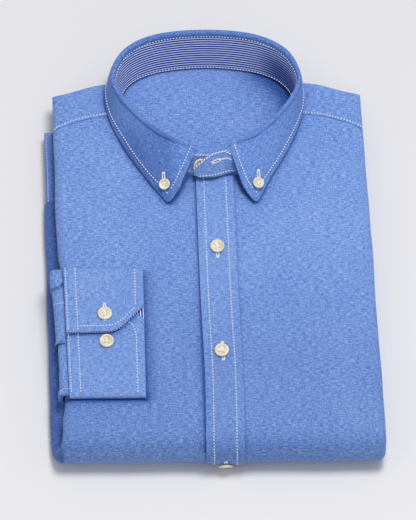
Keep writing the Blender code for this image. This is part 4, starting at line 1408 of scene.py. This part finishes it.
def wristSurface(y, travel, level):
    slitZ = fold["stack"] - fold["leg"] - fold["gap"] - wrist["half"] - 0.0002
    topZ = fold["stack"] + fold["gap"] + wrist["half"] + 0.0002
    radius = (topZ - slitZ) / 2
    turnX = -fold["halfWidth"] - reading(wristRolls, y) + wrist["half"] + wrist["deep"]
    if travel <= 1:
        x, z = mix(-0.0700, turnX, travel), slitZ - level
    elif travel <= 2:
        turn = pi * (travel - 1)
        flat = copysign(abs(cos(turn)) ** 0.55, cos(turn))
        x = turnX - (wrist["deep"] + level) * sin(turn) ** 0.75
        z = slitZ + radius - (radius + level) * flat
    else:
        x, z = mix(turnX, cuffX(cuff["left"], y) - fold["gap"], travel - 2), topZ + level
    return laid(x, y, z)


def wristRelief(y, travel):
    # gathers and small pleats that run into the cuff
    strength = smooth((travel - 0.9) / 0.6) * (1 - 0.35 * smooth((travel - 2.6) / 0.4))
    slant = 0.0044 * smooth(travel - 2)
    tuck = 0.0015 * smooth((y + 0.0262 - slant) / 0.0016) * (1 - 0.3 * smooth((y + 0.0190) / 0.008))
    hem = 0.0011 * smooth((-0.1118 - y) / 0.0014)
    soft = 0.0
    for at, width, height in wristPleats:
        soft += height * band(y - at - slant * 0.5, width)
    return strength * (tuck + hem + 0.0006 * soft)


def buildWrist():
    low, high, half = wrist["low"], wrist["high"], wrist["half"]
    flat = steps(low + half, high - half, 130)
    ring = [(y, half) for y in flat]
    ring += [(high - half + half * sin(a), half * cos(a)) for a in steps(0, pi, 8)[1:-1]]
    ring += [(y, -half) for y in reversed(flat)]
    ring += [(low + half - half * sin(a), half * cos(a)) for a in steps(pi, 0, 8)[1:-1]]
    ring.append(ring[0])
    travel = chained((0, 1, 5), (1, 2, 26), (2, 3, 8))

    def surface(corner, t, out):
        y, level = corner
        relief = wristRelief(y, t) if level > 0 else 0.0
        return wristSurface(y, t, level + out + relief)

    def shade(x, y, z):
        # painted shade on the sleeve: shadows under the lapped edge and the tuck, a line along the hem, a
        # shadow beside the cuff, and darker low down the side
        lap = -0.0730 + 0.0050 * smooth((x + 0.1260) / 0.006)
        edge = -0.0262 + 0.0044 * smooth((x + 0.1270) / 0.007)
        pressed = 0.60 * band(lap - y, 0.0013) + 0.25 * band(lap - y, 0.0035) if y < lap else 0.0
        pressed += 0.65 * band(edge - y, 0.0012) + 0.35 * band(y + 0.1122, 0.0010)
        pressed += 0.55 * band(x - cuffX(cuff["left"], y), 0.0012)
        return pressed + 0.45 * smooth((fold["stack"] - 0.0035 - z) / 0.006)

    made = cloth("sleeveWrist", ring, travel, surface, 0.0, wrist["wall"], crossCloth,
                 ["sleeve_right_wrist"], closed=True, shade=shade)

    def bound(y, t, out):
        # the sleeve's upper part, lapped over the lower one in line with the cuff's flap
        lower = smooth((-0.0300 - y) / 0.030)
        edge = y + 0.0060 * smooth((t - 2.0) / 1.0) * lower
        lap = 0.0002 + 0.0008 * smooth((-0.0660 - y) / 0.007)
        level = wrist["half"] + lap * (0.2 + 0.8 * lower) + max(0.0, wristRelief(edge, t)) - 0.0002
        return wristSurface(edge, t, level + out)

    made = cloth("sleevePlacket", steps(-0.0740, -0.0270, 40), steps(1.15, 2.97, 40), bound, 0.0010, 0.0009,
                 sewnCloth, ["sleeve_placket"], shade=shade)
    runs = []
    sewRow(runs, bound, 0.0010, [(-0.0392, t) for t in steps(1.7, 2.92, 50)], radius=0.0003, pitch=0.0019)

    def outer(y, t, out):
        return wristSurface(y, t, wrist["half"] + out + wristRelief(y, t))

    sewRow(runs, outer, 0.0, [(-0.1132, t) for t in steps(1.9, 2.95, 50)], radius=0.0003, pitch=0.0019)
    threadPiece("sleeveStitches", runs)


buildWrist()
print("sleeve done")

# buttons
buttons = {  # across and thick
    "front": (0.0115, 0.0026), "cuff": (0.0114, 0.0026), "point": (0.0092, 0.0023), "stand": (0.0110, 0.0022),
}
buttonProfile = (
    (0.0, 0.62), (0.30, 0.61), (0.50, 0.64), (0.60, 0.72), (0.66, 0.86), (0.73, 0.96), (0.81, 1.0),
    (0.89, 0.97), (0.95, 0.87), (0.985, 0.72), (1.0, 0.52), (0.97, 0.32), (0.88, 0.14), (0.72, 0.04),
    (0.0, 0.0),
)
holeSpread, holeRadius = 0.115, 0.066  # shares of the width


def turnedButton(size):
    across, thick = size
    bm = bmesh.new()
    verts = [bm.verts.new((across / 2 * r, 0, thick * z)) for r, z in buttonProfile]
    edges = [bm.edges.new(pair) for pair in zip(verts, verts[1:])]
    bmesh.ops.spin(bm, geom=verts + edges, cent=(0, 0, 0), axis=(0, 0, 1), angle=2 * pi, steps=44,
                   use_merge=True)
    bmesh.ops.remove_doubles(bm, verts=bm.verts, dist=1e-6)
    bmesh.ops.recalc_face_normals(bm, faces=bm.faces)
    blank = loose("blank", bm)
    holes = bmesh.new()
    spread, radius = across * holeSpread, across * holeRadius
    for x, y in ((-1, -1), (-1, 1), (1, -1), (1, 1)):
        place = Matrix.Translation((x * spread, y * spread, thick / 2))
        bmesh.ops.create_cone(holes, cap_ends=True, segments=14, radius1=radius, radius2=radius,
                              depth=thick * 3, matrix=place)
    made = carved(blank, loose("drill", holes))
    bpy.data.objects.remove(blank)
    made.shade_smooth()
    made.set_sharp_from_angle(angle=radians(50))
    return made


def buttonStand(node, normal, size):
    # the button's own place: its middle on its base, from the box of its node
    centre = centreOf(node)
    up = normal.normalized()
    turn = up.to_track_quat("Z", "Y").to_matrix().to_4x4()
    turn.translation = centre - up * size[1] / 2
    return turn


def onPathNormal(along):
    a = onPath(placketX(along), along, 0.0)
    return onPath(placketX(along), along, 0.001) - a


def leafNormal(side):
    middle = leafSurface((side, 6.72), 0.80, 0.0)
    return leafSurface((side, 6.72), 0.80, 0.001) - middle


def standNormal():
    up = standSurface((-1, leafFront + 0.40), 0.5, 0.001) - standSurface((-1, leafFront + 0.40), 0.5, 0.0)
    return up if up.z > 0 else -up


def buildButtons():
    blanks = {kind: turnedButton(size) for kind, size in buttons.items()}
    jobs = [(name, "front", onPathNormal(along)) for name, along in buttonRows]
    jobs += [("button_collar_right", "point", leafNormal(-1)), ("button_collar_left", "point", leafNormal(1))]
    jobs += [("button_cuff_1", "cuff", Vector((0, 0, 1))), ("button_cuff_2", "cuff", Vector((0, 0, 1)))]
    jobs += [("button_stand", "stand", standNormal())]
    turns = (8, -14, 22, 5, -9, 12, -6, 16, -4, 30)
    runs = []
    for (node, kind, normal), angle in zip(jobs, turns):
        size = buttons[kind]
        place = buttonStand(node, normal, size) @ Matrix.Rotation(radians(angle), 4, "Z")
        mesh = blanks[kind].copy()
        mesh.transform(place)
        words = node.split("_")
        made = placed(words[0] + "".join(w.capitalize() for w in words[1:]), mesh)
        finished(made, ivory, [node])
        up, spread = (place.to_3x3() @ Vector((0, 0, 1))), size[0] * holeSpread
        for x, y in ((1, 1), (1, -1)):
            way = place.to_3x3() @ Vector((x, y, 0))
            for off in (-0.00022, 0.00022):
                side = way.cross(up).normalized() * off
                middle = place @ Vector((0, 0, size[1] * 0.66)) + side
                runs.append(stitchRun(middle, way, up, spread * 3.3, 0.00030))
    threadPiece("buttonThread", runs)


buildButtons()
print("buttons done")

# buttonholes
holeMaking = {"gape": 0.00045, "stitch": 0.00105, "pitch": 0.00036, "half": 0.0080}


def addHole(runs, slits, surface, face, start, end, gape=holeMaking["gape"]):
    # stitches set round a slit that follows the cloth, and a bar across each end
    line = [(surface(a, b, face), surface(a, b, face + 0.001)) for a, b in straight(start, end, 60)]
    whole = sum((q[0] - p[0]).length for p, q in zip(line, line[1:]))
    spots = walked(line, holeMaking["pitch"])
    long = holeMaking["stitch"]
    ring = []
    for k, (point, way, up) in enumerate(spots):
        up = up.normalized()
        side = up.cross(way).normalized()
        gaping = gape * (1 - (2 * k * holeMaking["pitch"] / whole - 1) ** 2)
        for s in (-1, 1):
            runs.append(stitchRun(point + side * s * (gaping + long / 2), side, up, long, 0.00024))
        if k < 4 or k > len(spots) - 5:
            runs.append(stitchRun(point + up * 0.0002, side, up, long * 2.2, 0.00028))
        ring.append((point + up * 0.00006, side * (gaping + 0.0001)))
    verts = [(slits.verts.new(p - w), slits.verts.new(p + w)) for p, w in ring]
    for (a, b), (c, d) in zip(verts, verts[1:]):
        slits.faces.new((a, c, d, b))


def buildButtonholes():
    runs, slits = [], bmesh.new()
    face = fold["wall"]
    for name, along in buttonRows:
        drop = 0.0014 if name == "button_front_1" else 0.0002
        ends = [(0.0, along + drop + half) for half in (-holeMaking["half"], holeMaking["half"])]
        addHole(runs, slits, placketSurface, face, *ends)
    for side in (-1, 1):
        def onLeaf(x, share, out, side=side):
            # the station that far out is found by halving
            low, high = 6.2, 7.0
            for _ in range(14):
                station = (low + high) / 2
                low, high = (station, high) if leafPoint(station, share, side).x > x else (low, station)
            return leafSurface((side, station), share, out)

        x = side * unlaid(centreOf("button_collar_left" if side > 0 else "button_collar_right"))[0]
        addHole(runs, slits, onLeaf, leaf["wall"], (x, 0.725), (x, 0.83), 0.0003)
    addHole(runs, slits, onFlap, 0.0, (-0.0890, -0.0405), (-0.0892, -0.0560))

    def onStand(station, share, out):
        return standSurface((1, station), share, out)

    face = stand["wall"] + 0.0002
    addHole(runs, slits, onStand, face, (leafFront + 0.49, 0.62), (leafFront + 0.26, 0.64), 0.00040)
    tail = steps(leafFront + 0.25, leafFront + 0.03, 20)
    line = [(onStand(s, 0.64, face), onStand(s, 0.64, face + 0.001)) for s in tail]
    for point, way, up in walked(line, 0.0004):
        runs.append(stitchRun(point, up.cross(way), up, 0.0011, 0.00026))
    threadPiece("buttonholes", runs)
    bmesh.ops.recalc_face_normals(slits, faces=slits.faces)
    made = finished(loose("buttonholeSlits", slits), slitBlue)
    made.data.shade_smooth()


buildButtonholes()
print("buttonholes done")

# stage
studio = {
    "target": (-0.00147, -0.01732, 0.030), "distance": 2.9, "elevation": 63, "azimuth": -2.0, "lens": 254.138,
    "floorFar": linear(0.878, 0.876, 0.886), "floorNear": linear(0.945, 0.943, 0.950), "world": 0.47,
    "keyFrom": (0.23, 0.21, 1.30), "keyAway": 1.55, "keySize": 0.60, "keyPower": 14.2,
}


def buildStage():
    bm = bmesh.new()
    bmesh.ops.create_grid(bm, x_segments=1, y_segments=1, size=4.0)
    floor = loose("floor", bm)
    n = Nodes("floorPaper")
    spot = n.coordinates("Object")
    x, y, _ = n.split(spot)
    sweep = n.sums("SUBTRACT", 0.5, n.weighted((y, 1), (x, 0.5)))
    tone = n.weighted((sweep, 1), (n.noisy(spot, (3, 3, 3)), 0.02))
    colour = n.ramp(tone, (0.2, studio["floorFar"]), (0.8, studio["floorNear"]))
    paper = n.finish({"Base Color": colour, "Roughness": 0.95, "Specular IOR Level": 0.1})
    floor.data.materials.append(paper)
    floor.data.transform(Matrix.Translation((0, 0, -0.0002)))

    world = bpy.data.worlds.new("studio")
    world.use_nodes = True
    world.node_tree.nodes["Background"].inputs["Color"].default_value = (1.0, 1.0, 1.0, 1.0)
    world.node_tree.nodes["Background"].inputs["Strength"].default_value = studio["world"]
    bpy.context.scene.world = world
    light = bpy.data.lights.new("softKey", "AREA")
    light.shape, light.size, light.energy = "DISK", studio["keySize"], studio["keyPower"]
    key = placed("softKey", light)
    way = Vector(studio["keyFrom"]).normalized()
    turn = way.to_track_quat("Z", "Y").to_matrix().to_4x4()
    key.matrix_world = Matrix.Translation(way * studio["keyAway"]) @ turn

    a, e = radians(studio["azimuth"]), radians(studio["elevation"])
    back = Vector((sin(a) * cos(e), -cos(a) * cos(e), sin(e)))
    right = Vector((cos(a), sin(a), 0))
    up = back.cross(right)
    camera = placed("camera", bpy.data.cameras.new("camera"))
    turn = Matrix((right, up, back)).transposed().to_4x4()
    turn.translation = Vector(studio["target"]) + back * studio["distance"]
    camera.matrix_world = turn
    camera.data.lens = studio["lens"]
    camera.data.sensor_width = 36
    camera.data.clip_end = 20
    bpy.context.scene.camera = camera
    bpy.context.scene.view_settings.view_transform = "Standard"


buildStage()
print("stage done")

bpy.context.view_layer.update()
